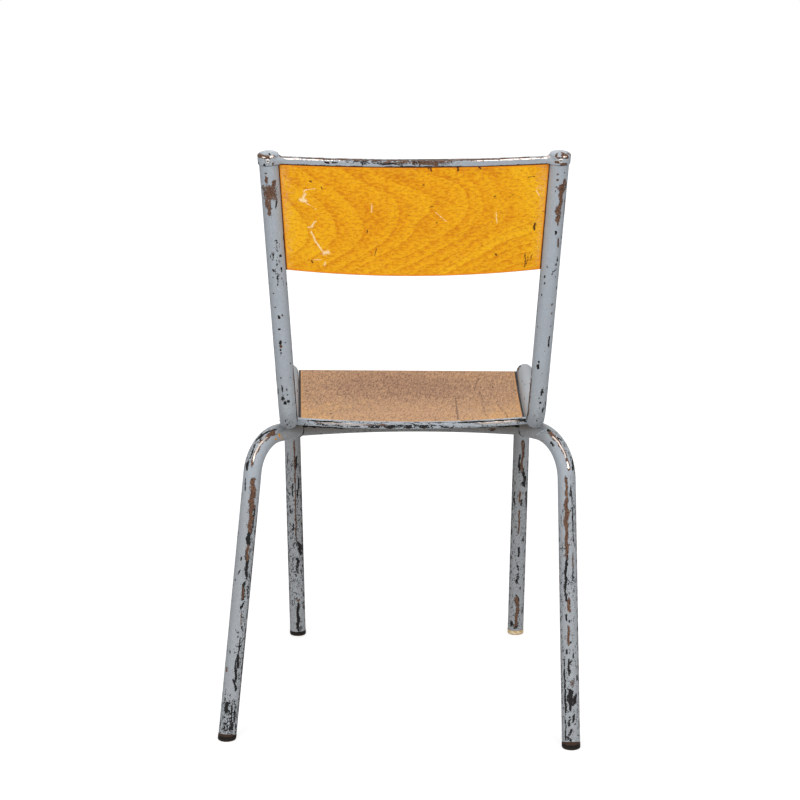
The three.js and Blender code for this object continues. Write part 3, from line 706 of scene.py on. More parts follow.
seat_slope = math.atan2(rail_rise + seat_front_lift - seat_rear_lift, rail_length)
ahead_along_seat = np.array((0, -math.cos(seat_slope), math.sin(seat_slope)))
above_seat = np.array((0, math.sin(seat_slope), math.cos(seat_slope)))


def rail_half_span(forward):
    return knee_half_span + (front_half_span - knee_half_span) * forward / rail_length


def seat_top(forward):
    return rail_height + seat_rear_lift + forward * math.tan(seat_slope)


def channel_section(width, depth, steps=7):
    """A folded strip seen end on: its web at the origin and its two lips on the minus side."""
    half = width / 2
    r = channel_corner
    corner = [(-r + r * math.sin(a), -half + r - r * math.cos(a)) for a in np.linspace(0, math.pi / 2, steps)]
    outside = [(-depth, -half)] + corner
    lip = half - channel_wall
    inside = [(-channel_wall, -lip), (-depth, -lip)]
    mirrored = [(x, -y) for x, y in reversed(outside)]
    return np.array(outside + mirrored + [(x, -y) for x, y in reversed(inside)] + inside)


channel_forward = seat_rear_forward - channel_wall - slot_gap
channel_reach = rail_half_span(channel_forward) - tube_radius + channel_corner
channel_height = seat_top(channel_forward) - ply_thickness / 2
channel_line = placed(bowed_line(
    at(RIGHT, channel_reach, -channel_forward, channel_height),
    at(LEFT, channel_reach, -channel_forward, channel_height),
    -ahead_along_seat * seat_rear_bow, 160,
))
section = channel_section(channel_width, seat_channel_depth)
rings, along = swept(*channel_line, above_seat, section)
seat_channel = smooth_piece("seat_rear_channel_pressed", rings, ring_faces(len(rings), len(section)))
along, behind, height = np.broadcast_arrays(along[:, None], section[:, 0], section[:, 1])
store(seat_channel, "surface_place", np.stack((behind, height + 7, along), axis=2))
wear = Wear(along, np.degrees(np.arctan2(height, behind + channel_corner)), channel_width / 2, 0.26)
# The black along the underside, at -104°, is a painted shadow over the cross tube, and the black at both ends is
# painted shade where the channel meets the rails.
wear.patches({  # along the channel from the sitter's right end, round its rear top corner
    "brown": [(12, 76, 30, 2.8), (188, 304, 26, 2.6, 0.95)],
    "black": [
        (-2, 6, 0, 10, 0.6), (0, 310, -104, 5, 0.9), (0, 310, -44, 3, 0.58), (0, 310, 84, 2.2, 0.68),
        (2, 16, 30, 6, 0.85), (12, 42, 56, 3, 1), (16, 110, 62, 2.2, 0.92), (100, 140, -4, 4.4, 0.84),
        (110, 240, 22, 2.8, 0.82), (110, 262, 60, 1.6, 0.62), (125, 232, -6, 6.4, 1), (225, 312, -14, 4, 0.95),
        (262, 312, 58, 2.4, 1), (288, 306, 22, 3.6, 0.66), (306, 320, 0, 10, 0.6),
    ],
    "bright": [(16, 72, 38, 1.3, 1), (72, 112, 32, 1, 0.56), (226, 296, 36, 1.2, 0.8)],
})
wear.scatter(63, count=18, low=0, high=300)
keep_wear(seat_channel, wear)
finish_piece(seat_channel, frame_paint, "grey_paint", "seat_rear_channel")


# ---------------------------------------------------------------- Seat
# A 6 mm plywood board, dished a little and rolled down over the front bends. Its top
# is coated in a wrinkled tan varnish, rubbed darker where people sit.
seat_rear_side_gap = 0.0014
seat_front_side_gap = 0.0004
seat_dish = 0.004
seat_flat_rear = 0.014
seat_roll = math.radians(62)
seat_twist = 0.0016  # the front edge is sprung up at the sitter's left, down at the right
eased_edge = 0.0012  # rounding of a plywood edge
board_columns = 330  # points across each face of a board
board_stations = 300  # and along it
edge_steps = 3  # points round each eased edge
tan_varnish_tones = ((0.372, 0.172, 0.070, 1), (0.445, 0.224, 0.098, 1))
tan_amber, tan_worn = (0.600, 0.290, 0.070, 1), (0.270, 0.105, 0.042, 1)
tan_painted_highlight, tan_painted_shade = (0.95, 0.60, 0.34, 1), (0.11, 0.045, 0.018, 1)  # painted highlight on the tops of the wrinkles, and painted shade between them
tan_rim = (0.76, 0.37, 0.14, 1)  # beside the painted shadow along the rails
# near black for the cracks and specks, and for the painted shadow along the rails
crack_and_shadow_black = (0.010, 0.007, 0.006, 1)
bare_beech = ((0.46, 0.27, 0.12, 1), (0.66, 0.44, 0.23, 1))
face_ply = ((0.42, 0.22, 0.085, 1), (0.60, 0.36, 0.17, 1))
cross_ply = ((0.16, 0.075, 0.032, 1), (0.32, 0.17, 0.075, 1))

seat_dish_start = seat_rear_forward + seat_flat_rear
front_bend_start = rail_length - front_bend_radius


def smooth_step(x, low, high):
    t = np.clip((x - low) / (high - low), 0, 1)
    return t * t * (3 - 2 * t)


def board_loop():
    """A board seen end on, with eased edges: share of its half width, way out of the edge, and depth."""
    columns = board_columns
    turn = np.linspace(0, math.pi / 2, edge_steps + 1)[1:]
    face = np.linspace(-1, 1, columns)
    flat = np.zeros(columns)
    out, deep = eased_edge * np.sin(turn), -eased_edge * (1 - np.cos(turn))
    side_out = np.concatenate((out, out[::-1]))
    side_deep = np.concatenate((deep, -ply_thickness - deep[::-1]))
    ends = np.ones(len(side_out))
    share = np.concatenate((face, ends, face[::-1], -ends))
    out = np.concatenate((flat, side_out, flat, side_out))
    deep = np.concatenate((flat, side_deep, flat - ply_thickness, side_deep[::-1]))
    return share, out, deep


def board_faces(rows):
    """Quads round the board, with its two ends closed between the upper and the lower face."""
    columns = board_columns
    sides = 2 * columns + 4 * edge_steps
    faces = quads(rows, sides)
    edge = [columns - 1 + k for k in range(8)]
    for base, turned in ((0, False), ((rows - 1) * sides, True)):
        for k in range(columns - 1):
            under = 2 * columns + 5 - k
            quad = (base + k, base + under, base + under - 1, base + k + 1)
            faces.append(tuple(reversed(quad)) if turned else quad)
        for corner in (edge, [(sides - 6 + k) % sides for k in range(-1, 7)]):
            cap = tuple(base + c for c in corner)
            faces.append(cap if turned else tuple(reversed(cap)))
    return faces


def seat_side_view(travel):
    """Distance ahead, height and fall of the seat's top, at a distance from the knee corners."""
    over = np.maximum(travel - front_bend_start, 0) / front_bend_radius
    ahead = np.minimum(travel, front_bend_start) + front_bend_radius * np.sin(over)
    t = np.clip((travel - seat_dish_start) / (front_bend_start - seat_dish_start), 0, 1)
    ease = smooth_step(t, 0, 0.15) * smooth_step(1 - t, 0, 0.15)
    height = seat_rear_lift - 4 * seat_dish * t * (1 - t) * ease - front_bend_radius * (1 - np.cos(over))
    return ahead, height, over


def board_edge(share, out, deep, half, inset):
    """Places across a board of a half width and into its thickness, drawn in where its ends are eased."""
    across = share * (half - eased_edge) + np.sign(share) * out * (1 - inset / eased_edge)
    return across, -inset + deep * (1 - 2 * inset / ply_thickness)


def end_stations():
    """Shares along a board with the easing of its ends: share, way beyond the end, and inset."""
    turn = np.linspace(0, math.pi / 2, edge_steps + 1)[1:]
    ease = [(eased_edge * math.sin(a), eased_edge * (1 - math.cos(a))) for a in turn]
    start = [(0.0, -out, inset) for out, inset in reversed(ease)]
    middle = [(t, 0.0, 0.0) for t in np.linspace(0, 1, board_stations)]
    return start + middle + [(1.0, out, inset) for out, inset in ease]


def seat_rows():
    share, out, deep = board_loop()
    rear_half = rail_half_span(seat_rear_forward) - tube_radius - seat_rear_side_gap
    front_half = rail_half_span(rail_length + front_bend_radius) - tube_radius - seat_front_side_gap
    roll_end = front_bend_start + front_bend_radius * seat_roll
    rows = []
    for t, beyond, inset in end_stations():
        rear = seat_rear_forward - seat_rear_bow * (1 - share**2)
        travel = rear + eased_edge + (roll_end - rear - 2 * eased_edge) * t
        ahead, height, over = seat_side_view(travel)
        spread = (ahead - seat_rear_forward) / (rail_length + front_bend_radius - seat_rear_forward)
        half = rear_half + (front_half - rear_half) * spread
        x, into = board_edge(share, out, deep, half, inset)
        ahead = ahead + into * np.sin(over) + beyond * np.cos(over)
        height = height + into * np.cos(over) - beyond * np.sin(over)
        height = height + seat_twist * share * smooth_step(travel, seat_dish_start, front_bend_start)
        points = at(LEFT, 0, 0, rail_height) + chair_place + x[:, None] * ACROSS
        points = points + ahead[:, None] * ahead_along_seat + height[:, None] * above_seat
        rows.append(np.column_stack((points, x, travel + beyond, into)))
    return np.array(rows)


def plywood_board(name, rows):
    board = smooth_piece(name, rows[..., :3], board_faces(len(rows)), 60)
    store(board, "board_place", rows[..., 3:])
    return board


rows = seat_rows()
seat = plywood_board("seat_panel_board", rows)


def keep_marks(board, places, to_tube, tone, pale, dark):
    """Draws lines on the upper face of a board, given as their ends and width in millimetres.

    The distance to the tubes beside the board is kept with them, for the painted shadow along its ends,
    and so is the tone of the wood, which is darker below 0 and lighter above it.
    """
    across, along, deep = (places[..., k] * 1000 for k in range(3))
    marks = np.zeros(across.shape + (4,))
    marks[..., 2] = to_tube * 1000
    marks[..., 3] = tone
    wavy = 0.5 * np.sin(along / 3.1) + 0.3 * np.sin(along / 1.3 + across / 9)
    for layer, lines in enumerate((pale, dark)):
        for x0, y0, x1, y1, width in lines:
            run = np.array((x1 - x0, y1 - y0))
            share = np.clip(((across - x0) * run[0] + (along - y0) * run[1]) / (run @ run), 0, 1)
            apart = np.hypot(across + wavy - x0 - share * run[0], along - y0 - share * run[1])
            mark = np.exp(-0.7 * (apart / (width / 2)) ** 2) * (deep > -1)
            marks[..., layer] = np.maximum(marks[..., layer], mark)
    store(board, "marks", marks, "FLOAT_COLOR")


def ragged_marks_group():
    """Turns the marks drawn on a board into ragged scuffs and nicks."""
    group, n, given, made = new_group(
        "ragged_marks", {"Place": "Vector", "Marks": "Color"}, {"Pale": "Float", "Dark": "Float", "Beside": "Float"}
    )
    pale, dark, beside = n.colours(given["Marks"])
    rag = n.minus(n.noise(given["Place"], 900, 4, 0.6), 0.5)
    n.put(n.above(n.plus(pale, n.times(rag, 3.4)), 0.60, 0.30), made["Pale"])
    n.put(n.above(n.plus(dark, n.times(rag, 2.0)), 0.56, 0.34), made["Dark"])
    n.put(n.plus(beside, n.times(rag, 2.5)), made["Beside"])
    return group


ragged_marks = ragged_marks_group()


def marks_of(n, place):
    """The pale and dark marks of a board, the distance to the tube beside it in millimetres, and its tone."""
    marks = n.stored("marks")
    return *n.use(ragged_marks, Place=place, Marks=marks["Color"]), marks["Alpha"]


def blobs(across, along, places):
    """Soft light and dark areas of a board: middle, half width, half height and amount of each."""
    tone = np.zeros(np.shape(across))
    for x, y, wide, high, amount in places:
        tone += amount * np.exp(-(((across - x) / wide) ** 2) - ((along - y) / high) ** 2)
    return tone


def plies_group():
    """The glued layers that show on the edges of plywood, and a mask of the edge itself."""
    group, n, given, made = new_group("plies", {"Place": "Vector"}, {"Color": "Color", "Edge": "Float"})
    place = given["Place"]
    depth = n.math("DIVIDE", n.axes(place)[2], -ply_thickness)
    rag = n.noise(place, 350, 3)
    band = n.math("PINGPONG", n.times(depth, 5), 1.0)
    end_grain = n.noise(n.scale(place, (1, 1, 6)), 900, 2)
    light, dark = n.mix(end_grain, *face_ply), n.mix(end_grain, *cross_ply)
    n.put(n.mix(n.above(n.plus(band, n.times(rag, 0.3)), 0.65, 0.25), light, dark), made["Color"])
    n.put(n.times(n.above(depth, 0.09, 0.06), n.above(n.minus(1.0, depth), 0.09, 0.06)), made["Edge"])
    return group


plies = plies_group()


def tan_varnish():
    """Wrinkled tan varnish: worn dark across the middle, amber at the rear corners, with a few cracks. Its wrinkles
    carry painted highlight and painted shade, and its sides a painted shadow line along the rails.
    """
    material, n, look = new_material("tan_varnish")
    place = n.stored("board_place")["Vector"]
    _, travel, depth = n.axes(place)
    flat = n.scale(place, (1, 1, 0))
    _, cracks, beside, tone = marks_of(n, flat)
    cloud = n.noise(flat, 14, 4, 0.6, 0.6)
    patchy = n.noise(n.shift(n.scale(flat, (1.0, 0.45, 1)), (4, 1, 0)), 70, 4, 0.6)
    tone = n.plus(tone, n.times(n.minus(patchy, 0.5), 2.6))
    one_way = n.combine(n.dot(flat, (1, 0.10, 0)), n.dot(flat, (0, 0.20, 0)), 0)
    other_way = n.combine(n.dot(flat, (1, -0.08, 0)), n.dot(flat, (0, 0.26, 0)), 3)
    wrinkle = n.noise(one_way, 380, 3, 0.6, 0.9)
    pebble = n.noise(other_way, 640, 3, 0.5, 0.6)
    relief = n.plus(n.times(wrinkle, 0.65), n.times(pebble, 0.35))
    colour = n.mix(cloud, *tan_varnish_tones)
    colour = n.mix(n.above(tone, 0.50, 1.0), colour, tan_amber)
    colour = n.mix(n.below(tone, -0.50, 1.0), colour, tan_worn)
    # Lit and shaded copies of the varnish colour paint highlight on the wrinkles' tops and shade between them.
    painted_wrinkle_highlight = n.mix(0.36, colour, tan_painted_highlight)
    shaded = n.mix(0.48, colour, tan_painted_shade)
    near = n.below(travel, 0.115, 0.12)  # the rear of the seat gets more of the painted highlight
    colour = n.mix(n.above(n.plus(relief, n.times(near, 0.035)), 0.49, 0.24), shaded, painted_wrinkle_highlight)
    speck = n.above(n.noise(n.shift(n.scale(flat, (1.0, 0.5, 1)), (2, 7, 0)), 330, 2), 0.70, 0.04)
    dark = n.times(n.most(speck, cracks), 0.72)
    rim = n.below(beside, 5.2, 1.6)
    colour = n.coat(colour, tan_rim, rim, 0.6)
    # A near black line along both sides of the seat is a painted shadow in the gap beside the rails.
    grimy = n.below(beside, 3.1, 0.7)
    colour = n.mix(n.most(dark, grimy), colour, crack_and_shadow_black)

    # bare wood underneath, and the plies at the edges
    grain = n.noise(n.scale(flat, (0.10, 1.0, 1)), 420, 4, 0.6)
    underside = n.below(depth, 0.0006 - ply_thickness, 0.0004)
    colour = n.mix(underside, colour, n.mix(grain, *bare_beech))
    edge = n.use(plies, Place=place)
    n.put(n.mix(edge["Edge"], colour, edge["Color"]), look["Base Color"])
    n.put(n.blend(relief, 0.42, 0.62), look["Roughness"])
    look["Specular IOR Level"].default_value = 0.06
    n.bump(n.minus(relief, n.times(dark, 0.6)), 0.8, 0.0020, look)
    return material


seat_cracks = [  # ends in millimetres towards the sitter's left and ahead, and width
    (-67, 168, -66, 137, 1.2), (-66, 138, -64, 21, 1.6), (-108, 290, -100, 246, 1.3), (-99, 240, -97, 215, 1.3),
    (152, 212, 149, 204, 2.6), (106, 189, 100, 180, 2.6), (94, 177, 93, 172, 2), (84, 172, 82, 164, 2),
    (114, 62, 113, 54, 2.8), (-104, 208, -106, 137, 1), (-123, 248, -126, 233, 2), (-156, 220, -158, 214, 2.8),
    (-126, 124, -134, 32, 1), (64, 211, 61, 160, 0.9), (-104, 137, -104, 39, 0.9), (143, 174, 133, 128, 1),
]
half_width = np.abs(rows[..., 3]).max(axis=1, keepdims=True)
to_rail = half_width - np.abs(rows[..., 3])
seat_tones = [  # amber at the rear corners and down the sides, worn brown where people sit
    (158, 20, 45, 70, 1.3), (-150, 20, 48, 60, 1.5), (170, 150, 14, 150, 1.1), (-165, 150, 12, 120, 0.9),
    (-95, 200, 26, 60, 0.35), (45, 250, 14, 60, 0.6), (110, 120, 20, 40, 0.35), (14, 268, 50, 34, -1.3),
    (-10, 235, 120, 42, -1), (-15, 190, 115, 35, -0.65), (85, 245, 40, 35, -0.35), (60, 305, 70, 28, -0.35),
    (-20, 150, 60, 20, -0.15),
]
tone = blobs(rows[..., 3] * 1000, rows[..., 4] * 1000, seat_tones)
keep_marks(seat, rows[..., 3:], to_rail, tone, [], seat_cracks)
finish_piece(seat, tan_varnish(), "seat_plywood", "seat_panel")


# ---------------------------------------------------------------- Backrest
# A bowed 6 mm plywood board, held in slots in the two uprights. Its rotary-cut beech
# face is varnished amber, and scuffs have broken the varnish near its ends.
backrest_height = 0.154
backrest_bow = 0.030
backrest_arch = 0.0047
backrest_set_forward = 0.006
slot_reach = 0.0055
panel_corner = 0.005
cap_skirt = 0.0116
top_channel_depth = 0.007
amber_tones = {"Light": (0.94, 0.492, 0.010, 1), "Middle": (0.83, 0.338, 0.004, 1), "Dark": (0.63, 0.185, 0.002, 1)}
fibre_brown = (0.20, 0.07, 0.01, 1)
rubbed_rose, rubbed_top = (0.74, 0.38, 0.20, 1), (0.60, 0.25, 0.07, 1)  # worn by the next chair in a stack
edge_orange = (0.88, 0.27, 0.008, 1)
scuff_pale, nick_brown = (1.0, 0.76, 0.44, 1), (0.200, 0.055, 0.012, 1)
# near black for the painted shadow in the slots and under the top rail
slot_shadow_black = (0.050, 0.015, 0.006, 1)

up_the_lean = unit(np.array((0, upright_lean, upright_height - rail_height)))
behind_the_lean = np.cross(up_the_lean, ACROSS)
lean_length = math.hypot(upright_lean, upright_height - rail_height)
top_channel_top = lean_length - cap_skirt + top_channel_depth
backrest_top = top_channel_top - channel_wall - slot_gap
backrest_bottom = backrest_top - backrest_height


def on_lean(x, up_lean, behind=0):
    """Points on the plane of the uprights, measured up the lean from the knee corners."""
    x, up_lean, behind = np.broadcast_arrays(x, up_lean, behind)
    base = at(LEFT, 0, 0, rail_height) + chair_place
    return base + x[..., None] * ACROSS + up_lean[..., None] * up_the_lean + behind[..., None] * behind_the_lean


def upright_half_span(up_lean):
    return knee_half_span + (top_half_span - knee_half_span) * up_lean / lean_length


def backrest_behind(x):
    return backrest_bow * (1 - (x / top_half_span) ** 2) - backrest_set_forward


def backrest_rows():
    share, out, deep = board_loop()
    rows = []
    for t, beyond, inset in end_stations():
        bottom = backrest_bottom + eased_edge
        up_lean = bottom + (backrest_top - bottom) * t + min(beyond, 0)
        from_bottom = min(up_lean - backrest_bottom, panel_corner)
        cut = panel_corner - math.sqrt(panel_corner**2 - (panel_corner - from_bottom) ** 2)
        half = upright_half_span(up_lean) - tube_radius + slot_reach - cut
        x, into = board_edge(share, out, deep, half, inset)
        rise = backrest_arch * (1 - share**2) * smooth_step(t, 0.3, 1)
        points = on_lean(x, up_lean + rise, backrest_behind(x) + ply_thickness / 2 + into)
        rows.append(np.column_stack((points, -x, np.full(len(x), up_lean - backrest_bottom), into)))
    return np.array(rows)


rows = backrest_rows()
backrest = plywood_board("backrest_panel_board", rows)


growth_lines = [  # across towards the sitter's right and up the board, in millimetres
    [(-164, 95), (-156, 86), (-149, 76), (-142, 68), (-140, 57), (-142, 42), (-151, 30), (-162, 21)],
    [
        (-141, 115), (-126, 102), (-118, 93), (-109, 81), (-102, 70), (-100, 61), (-107, 48), (-118, 36), (-129, 25),
        (-141, 17), (-158, 9),
    ],
    [
        (-152, 143), (-140, 135), (-128, 127), (-114, 121), (-99, 112), (-90, 104), (-82, 92), (-74, 82), (-68, 69),
        (-68, 61), (-74, 47), (-83, 38), (-94, 27), (-106, 20), (-120, 10),
    ],
    [
        (-87, 141), (-79, 132), (-65, 126), (-45, 120), (-31, 110), (-22, 97), (-20, 83), (-22, 72), (-33, 54),
        (-47, 41), (-62, 30), (-75, 22), (-93, 10),
    ],
    [
        (-56, 144), (-47, 136), (-36, 130), (-18, 124), (-1, 117), (12, 116), (20, 104), (18, 91), (8, 81), (-1, 74),
        (-10, 53), (-28, 40), (-45, 30), (-62, 21), (-81, 8),
    ],
    [
        (18, 138), (39, 131), (56, 125), (65, 118), (71, 107), (70, 89), (66, 80), (58, 72), (42, 59), (28, 50),
        (14, 42), (-6, 29), (-27, 22), (-45, 10),
    ],
    [
        (50, 143), (72, 126), (84, 112), (89, 96), (88, 86), (80, 74), (66, 60), (50, 48), (30, 38), (12, 26),
        (-8, 16),
    ],
    [
        (84, 144), (103, 124), (114, 104), (121, 89), (118, 76), (102, 61), (82, 50), (62, 34), (48, 28), (33, 21),
        (18, 14), (3, 6),
    ],
    [
        (118, 142), (137, 119), (150, 97), (160, 81), (162, 71), (150, 66), (136, 62), (122, 58), (108, 52),
        (96, 44), (81, 34), (66, 26), (51, 16), (34, 5),
    ],
    [(173, 60), (154, 53), (139, 51), (124, 47), (108, 39), (94, 31), (79, 23), (62, 14), (43, 4)],
    [(168, 42), (146, 37), (127, 32), (110, 26), (97, 20), (82, 12), (62, 3)],
    [(169, 29), (150, 28), (134, 24), (116, 16), (98, 8), (79, 1)],
    [(168, 18), (152, 16), (134, 11), (116, 4)],
]


def figure_field(across, up):
    """A smooth count of growth rings that is 1 on the first growth line, 2 on the second and so on."""
    known = np.array([spot for line in growth_lines for spot in line], float)
    count = np.array([k + 1.0 for k, line in enumerate(growth_lines) for _ in line])

    def warp(squared):
        return squared * np.log(squared + 1)

    def spread(x, y):
        return warp((x[..., None] - known[:, 0]) ** 2 + (y[..., None] - known[:, 1]) ** 2)

    size = len(known)
    plane = np.column_stack((np.ones(size), known))
    table = np.zeros((size + 3, size + 3))
    table[:size, :size] = spread(known[:, 0], known[:, 1]) + 400 * np.eye(size)
    table[:size, size:], table[size:, :size] = plane, plane.T
    weights = np.linalg.solve(table, np.concatenate((count, (0, 0, 0))))
    flat = weights[size] + weights[size + 1] * across + weights[size + 2] * up
    return flat + spread(across, up) @ weights[:size]


def wood_figure_group():
    """Rotary-cut veneer: pale bands that end in a dark growth line, mottled and full of short fibres."""
    group, n, given, made = new_group(
        "wood_figure",
        {"Place": "Vector", "Rings": "Float", "Tone": "Float", "Light": "Color", "Middle": "Color", "Dark": "Color"},
        {"Color": "Color", "Height": "Float"},
    )
    place = given["Place"]
    light, middle, dark = (given[word] for word in ("Light", "Middle", "Dark"))
    wobble = n.minus(n.noise(place, 45, 4, 0.6), 0.5)
    ring = n.plus(given["Rings"], n.times(wobble, 0.30))
    share = n.math("FRACT", n.plus(ring, 20))
    faint = n.blend(n.above(n.noise(n.shift(place, (6, 2, 0)), 16, 2), 0.5, 0.3), 0.35, 1.0)
    across, up, _ = n.axes(place)
    upper_right = n.times(n.above(across, 0.078, 0.016), n.above(up, 0.070, 0.03))
    faint = n.times(faint, n.minus(1.0, n.times(upper_right, 0.88)))
    after = n.below(share, 0.10, 0.18)
    trail = n.below(share, 0.34, 0.5)
    before = n.above(share, 0.55, 0.8)
    fibre = n.noise(n.scale(place, (0.30, 1.0, 1)), 700, 4, 0.62)
    fleck = n.noise(n.shift(n.scale(place, (0.6, 1.0, 1)), (2, 1, 0)), 620, 2)
    blotch = n.noise(n.scale(place, (0.6, 1, 1)), 60, 5, 0.66, 0.4)
    fine = n.noise(n.shift(n.scale(place, (0.45, 1, 1)), (1, 5, 0)), 340, 4, 0.6)
    tone = n.plus(given["Tone"], n.times(n.minus(blotch, 0.5), 3.0))
    colour = n.mix(n.above(tone, 0.50, 1.0), middle, light)
    colour = n.mix(n.below(tone, -0.60, 1.2), colour, dark)
    colour = n.coat(colour, light, before, 0.45)
    colour = n.mix(n.times(n.times(trail, faint), 0.30), colour, dark)
    colour = n.mix(n.times(n.times(after, faint), 0.72), colour, dark)
    colour = n.coat(colour, light, n.above(fine, 0.52, 0.22), 0.55)
    grain = n.below(fine, 0.44, 0.16)
    colour = n.coat(colour, dark, grain, 0.52)
    short = n.below(fibre, 0.43, 0.18)
    colour = n.coat(colour, dark, short, 0.46)
    colour = n.mix(n.times(n.above(fleck, 0.63, 0.08), 0.50), colour, n.mix(0.4, dark, fibre_brown))
    n.put(colour, made["Color"])
    n.put(n.plus(fibre, n.times(after, 0.3)), made["Height"])
    return group


wood_figure = wood_figure_group()


def amber_varnish():
    """Amber varnish over the veneer, broken by pale scuffs and dark nicks, with a painted shadow where it goes into
    the uprights and under the top rail.
    """
    material, n, look = new_material("amber_varnish")
    place = n.stored("board_place")["Vector"]
    flat = n.scale(place, (1, 1, 0))
    pale, nick, beside, tone = marks_of(n, flat)
    figure = n.use(wood_figure, Place=flat, Rings=n.stored("rings")["Fac"], Tone=tone, **amber_tones)
    colour = figure["Color"]

    across, up, _ = n.axes(place)
    rag = n.noise(flat, 170, 5, 0.65)
    near_end = n.plus(n.math("ABSOLUTE", across), n.times(n.minus(rag, 0.5), 0.05))
    broken_up = n.above(n.noise(n.shift(flat, (3, 3, 0)), 480, 4), 0.50, 0.10)
    rubbed = n.times(n.above(near_end, 0.166, 0.018), broken_up)
    colour = n.coat(colour, rubbed_rose, rubbed, 0.55)
    near_top = n.above(n.plus(up, n.times(n.minus(rag, 0.5), 0.03)), 0.147, 0.006)
    colour = n.coat(colour, rubbed_top, near_top, 0.5)
    beside = n.least(beside, n.times(n.minus(0.1478, up), 1000))
    orange = n.below(n.least(beside, n.times(up, 1000)), 3.2, 1.4)
    colour = n.coat(colour, edge_orange, orange, 0.7)
    colour = n.coat(colour, scuff_pale, pale, 0.92)
    speck = n.above(n.noise(n.shift(flat, (5, 2, 0)), 330, 2), 0.728, 0.03)
    broken = n.most(nick, n.times(speck, 0.8))
    colour = n.coat(colour, nick_brown, broken, 0.9)
    # A dark line 1.5 mm wide beside the uprights and under the top rail is a painted shadow of the slots.
    slot_painted_shadow = n.below(beside, 1.5, 0.7)
    dark = n.most(n.times(n.times(broken, broken), 0.8), slot_painted_shadow)
    colour = n.coat(colour, slot_shadow_black, dark, 0.92)
    edge = n.use(plies, Place=place)
    n.put(n.mix(edge["Edge"], colour, edge["Color"]), look["Base Color"])
    n.put(n.blend(n.most(pale, dark), n.blend(rag, 0.34, 0.46), 0.7), look["Roughness"])
    n.bump(n.minus(n.times(figure["Height"], 0.5), n.most(pale, dark)), 0.35, 0.0004, look)
    look["Specular IOR Level"].default_value = 0.15
    return material


pale_scuffs = [  # ends in millimetres towards the sitter's right and up the board, and width
    (-142, 114, -130, 116, 1.3), (-145, 111, -142, 114, 1.6), (-145, 101, -143, 108, 3.4),
    (-148, 100, -142, 99, 4.8), (-141, 96, -129, 89, 1.2), (-138, 63, -133, 64, 2.3), (-135, 64, -130, 72, 2.3),
    (-136, 58, -130, 46, 2), (-130, 46, -122, 32, 2.5), (-118, 29, -114, 30, 5.4), (-133, 18, -123, 19, 1.2),
    (-118, 16, -118, 11, 1.7), (28, 88, 42, 76, 1), (162, 116, 159, 112, 1), (159, 112, 165, 104, 1.2),
    (164, 116, 169, 114, 1), (108, 85, 108, 71, 1.2), (-56, 99, -56, 88, 1.4),
]
dark_nicks = [
    (-136, 126, -134, 125, 2.1), (-121, 119, -120, 116, 1.7), (-61, 64, -61, 60, 1.8), (-50, 38, -52, 29, 1.2),
    (-136, 17, -134, 14, 2.1), (148, 130, 156, 131, 1.8), (125, 104, 134, 111, 1), (104, 106, 106, 107, 1.7),
    (160, 66, 159, 58, 3.4), (148, 24, 148, 6, 1.7), (152, 21, 150, 10, 1.2), (158, 23, 154, 14, 1.3),
    (20, 149, 22, 142, 2.1), (18, 149, 18, 145, 2.1), (55, 148, 57, 142, 2.8), (84, 146, 86, 144, 2.6),
    (28, 75, 29, 74, 1.8), (16, 93, 24, 96, 1.2), (-6, 84, -3, 85, 1.3), (170, 82, 178, 79, 1.3),
    (178, 10, 185, 7, 3.1), (12, 124, 13, 123, 1.8), (108, 28, 110, 26, 2.3),
]
to_upright = upright_half_span(rows[..., 4] + backrest_bottom) - tube_radius - np.abs(rows[..., 3])
across, up = rows[..., 3] * 1000, rows[..., 4] * 1000
rings = figure_field(across, up)
store(backrest, "rings", rings, "FLOAT")
backrest_tones = [  # yellow at the left, light between the pale bands, browner towards the top
    (-160, 62, 20, 30, 2.2), (-150, 125, 40, 20, 0.4), (-110, 75, 22, 35, 0.2), (-125, 100, 20, 20, -0.3),
    (-40, 95, 30, 25, -0.4), (-60, 60, 35, 25, -0.3), (0, 135, 30, 12, -0.6), (-10, 120, 25, 8, 0.5),
    (45, 95, 26, 22, 0.5), (35, 60, 40, 14, -0.5), (100, 75, 30, 16, -0.6), (75, 138, 60, 12, -0.3),
    (150, 90, 30, 30, 0.3), (160, 130, 20, 15, -0.8), (110, 30, 40, 18, -0.2), (-60, 15, 60, 12, 0.2),
    (-110, 142, 50, 14, -0.6), (-25, 142, 26, 12, -0.6), (0, 118, 14, 12, -0.6), (-64, 118, 14, 12, -0.5),
    (100, 142, 30, 12, -0.5), (128, 52, 24, 9, 0.8), (160, 54, 16, 10, 1.1), (160, 30, 16, 11, 0.9),
    (-160, 34, 16, 14, 0.7), (-128, 30, 14, 12, 0.6), (128, 30, 12, 9, 0.6), (-128, 118, 14, 10, 0.4),
]
tone = blobs(across, up, backrest_tones)
tone += 1.7 * np.exp(-(((rings - 9.45) / 0.42) ** 2)) * smooth_step(across, 10, 60)
keep_marks(backrest, rows[..., 3:], to_upright, tone, pale_scuffs, dark_nicks)
finish_piece(backrest, amber_varnish(), "backrest_plywood", "backrest_panel")


# ---------------------------------------------------------------- Top rail
# A pressed channel over the top edge of the backrest. Each end is drawn out into a
# trumpet and a domed cup that sits over the end of its upright.
fit_gap = 0.0003
cap_wall = 0.0011
cap_dome = 0.0038
flare_root = 0.006
flare_length = 0.011
flare_mouth_inset = 0.0028
strip_swell = 0.0008  # the folded strip has been dressed a little deeper than its solid
melt_voxel = 0.00045
melt_smoothing = 6
cap_radius = tube_radius + fit_gap + cap_wall


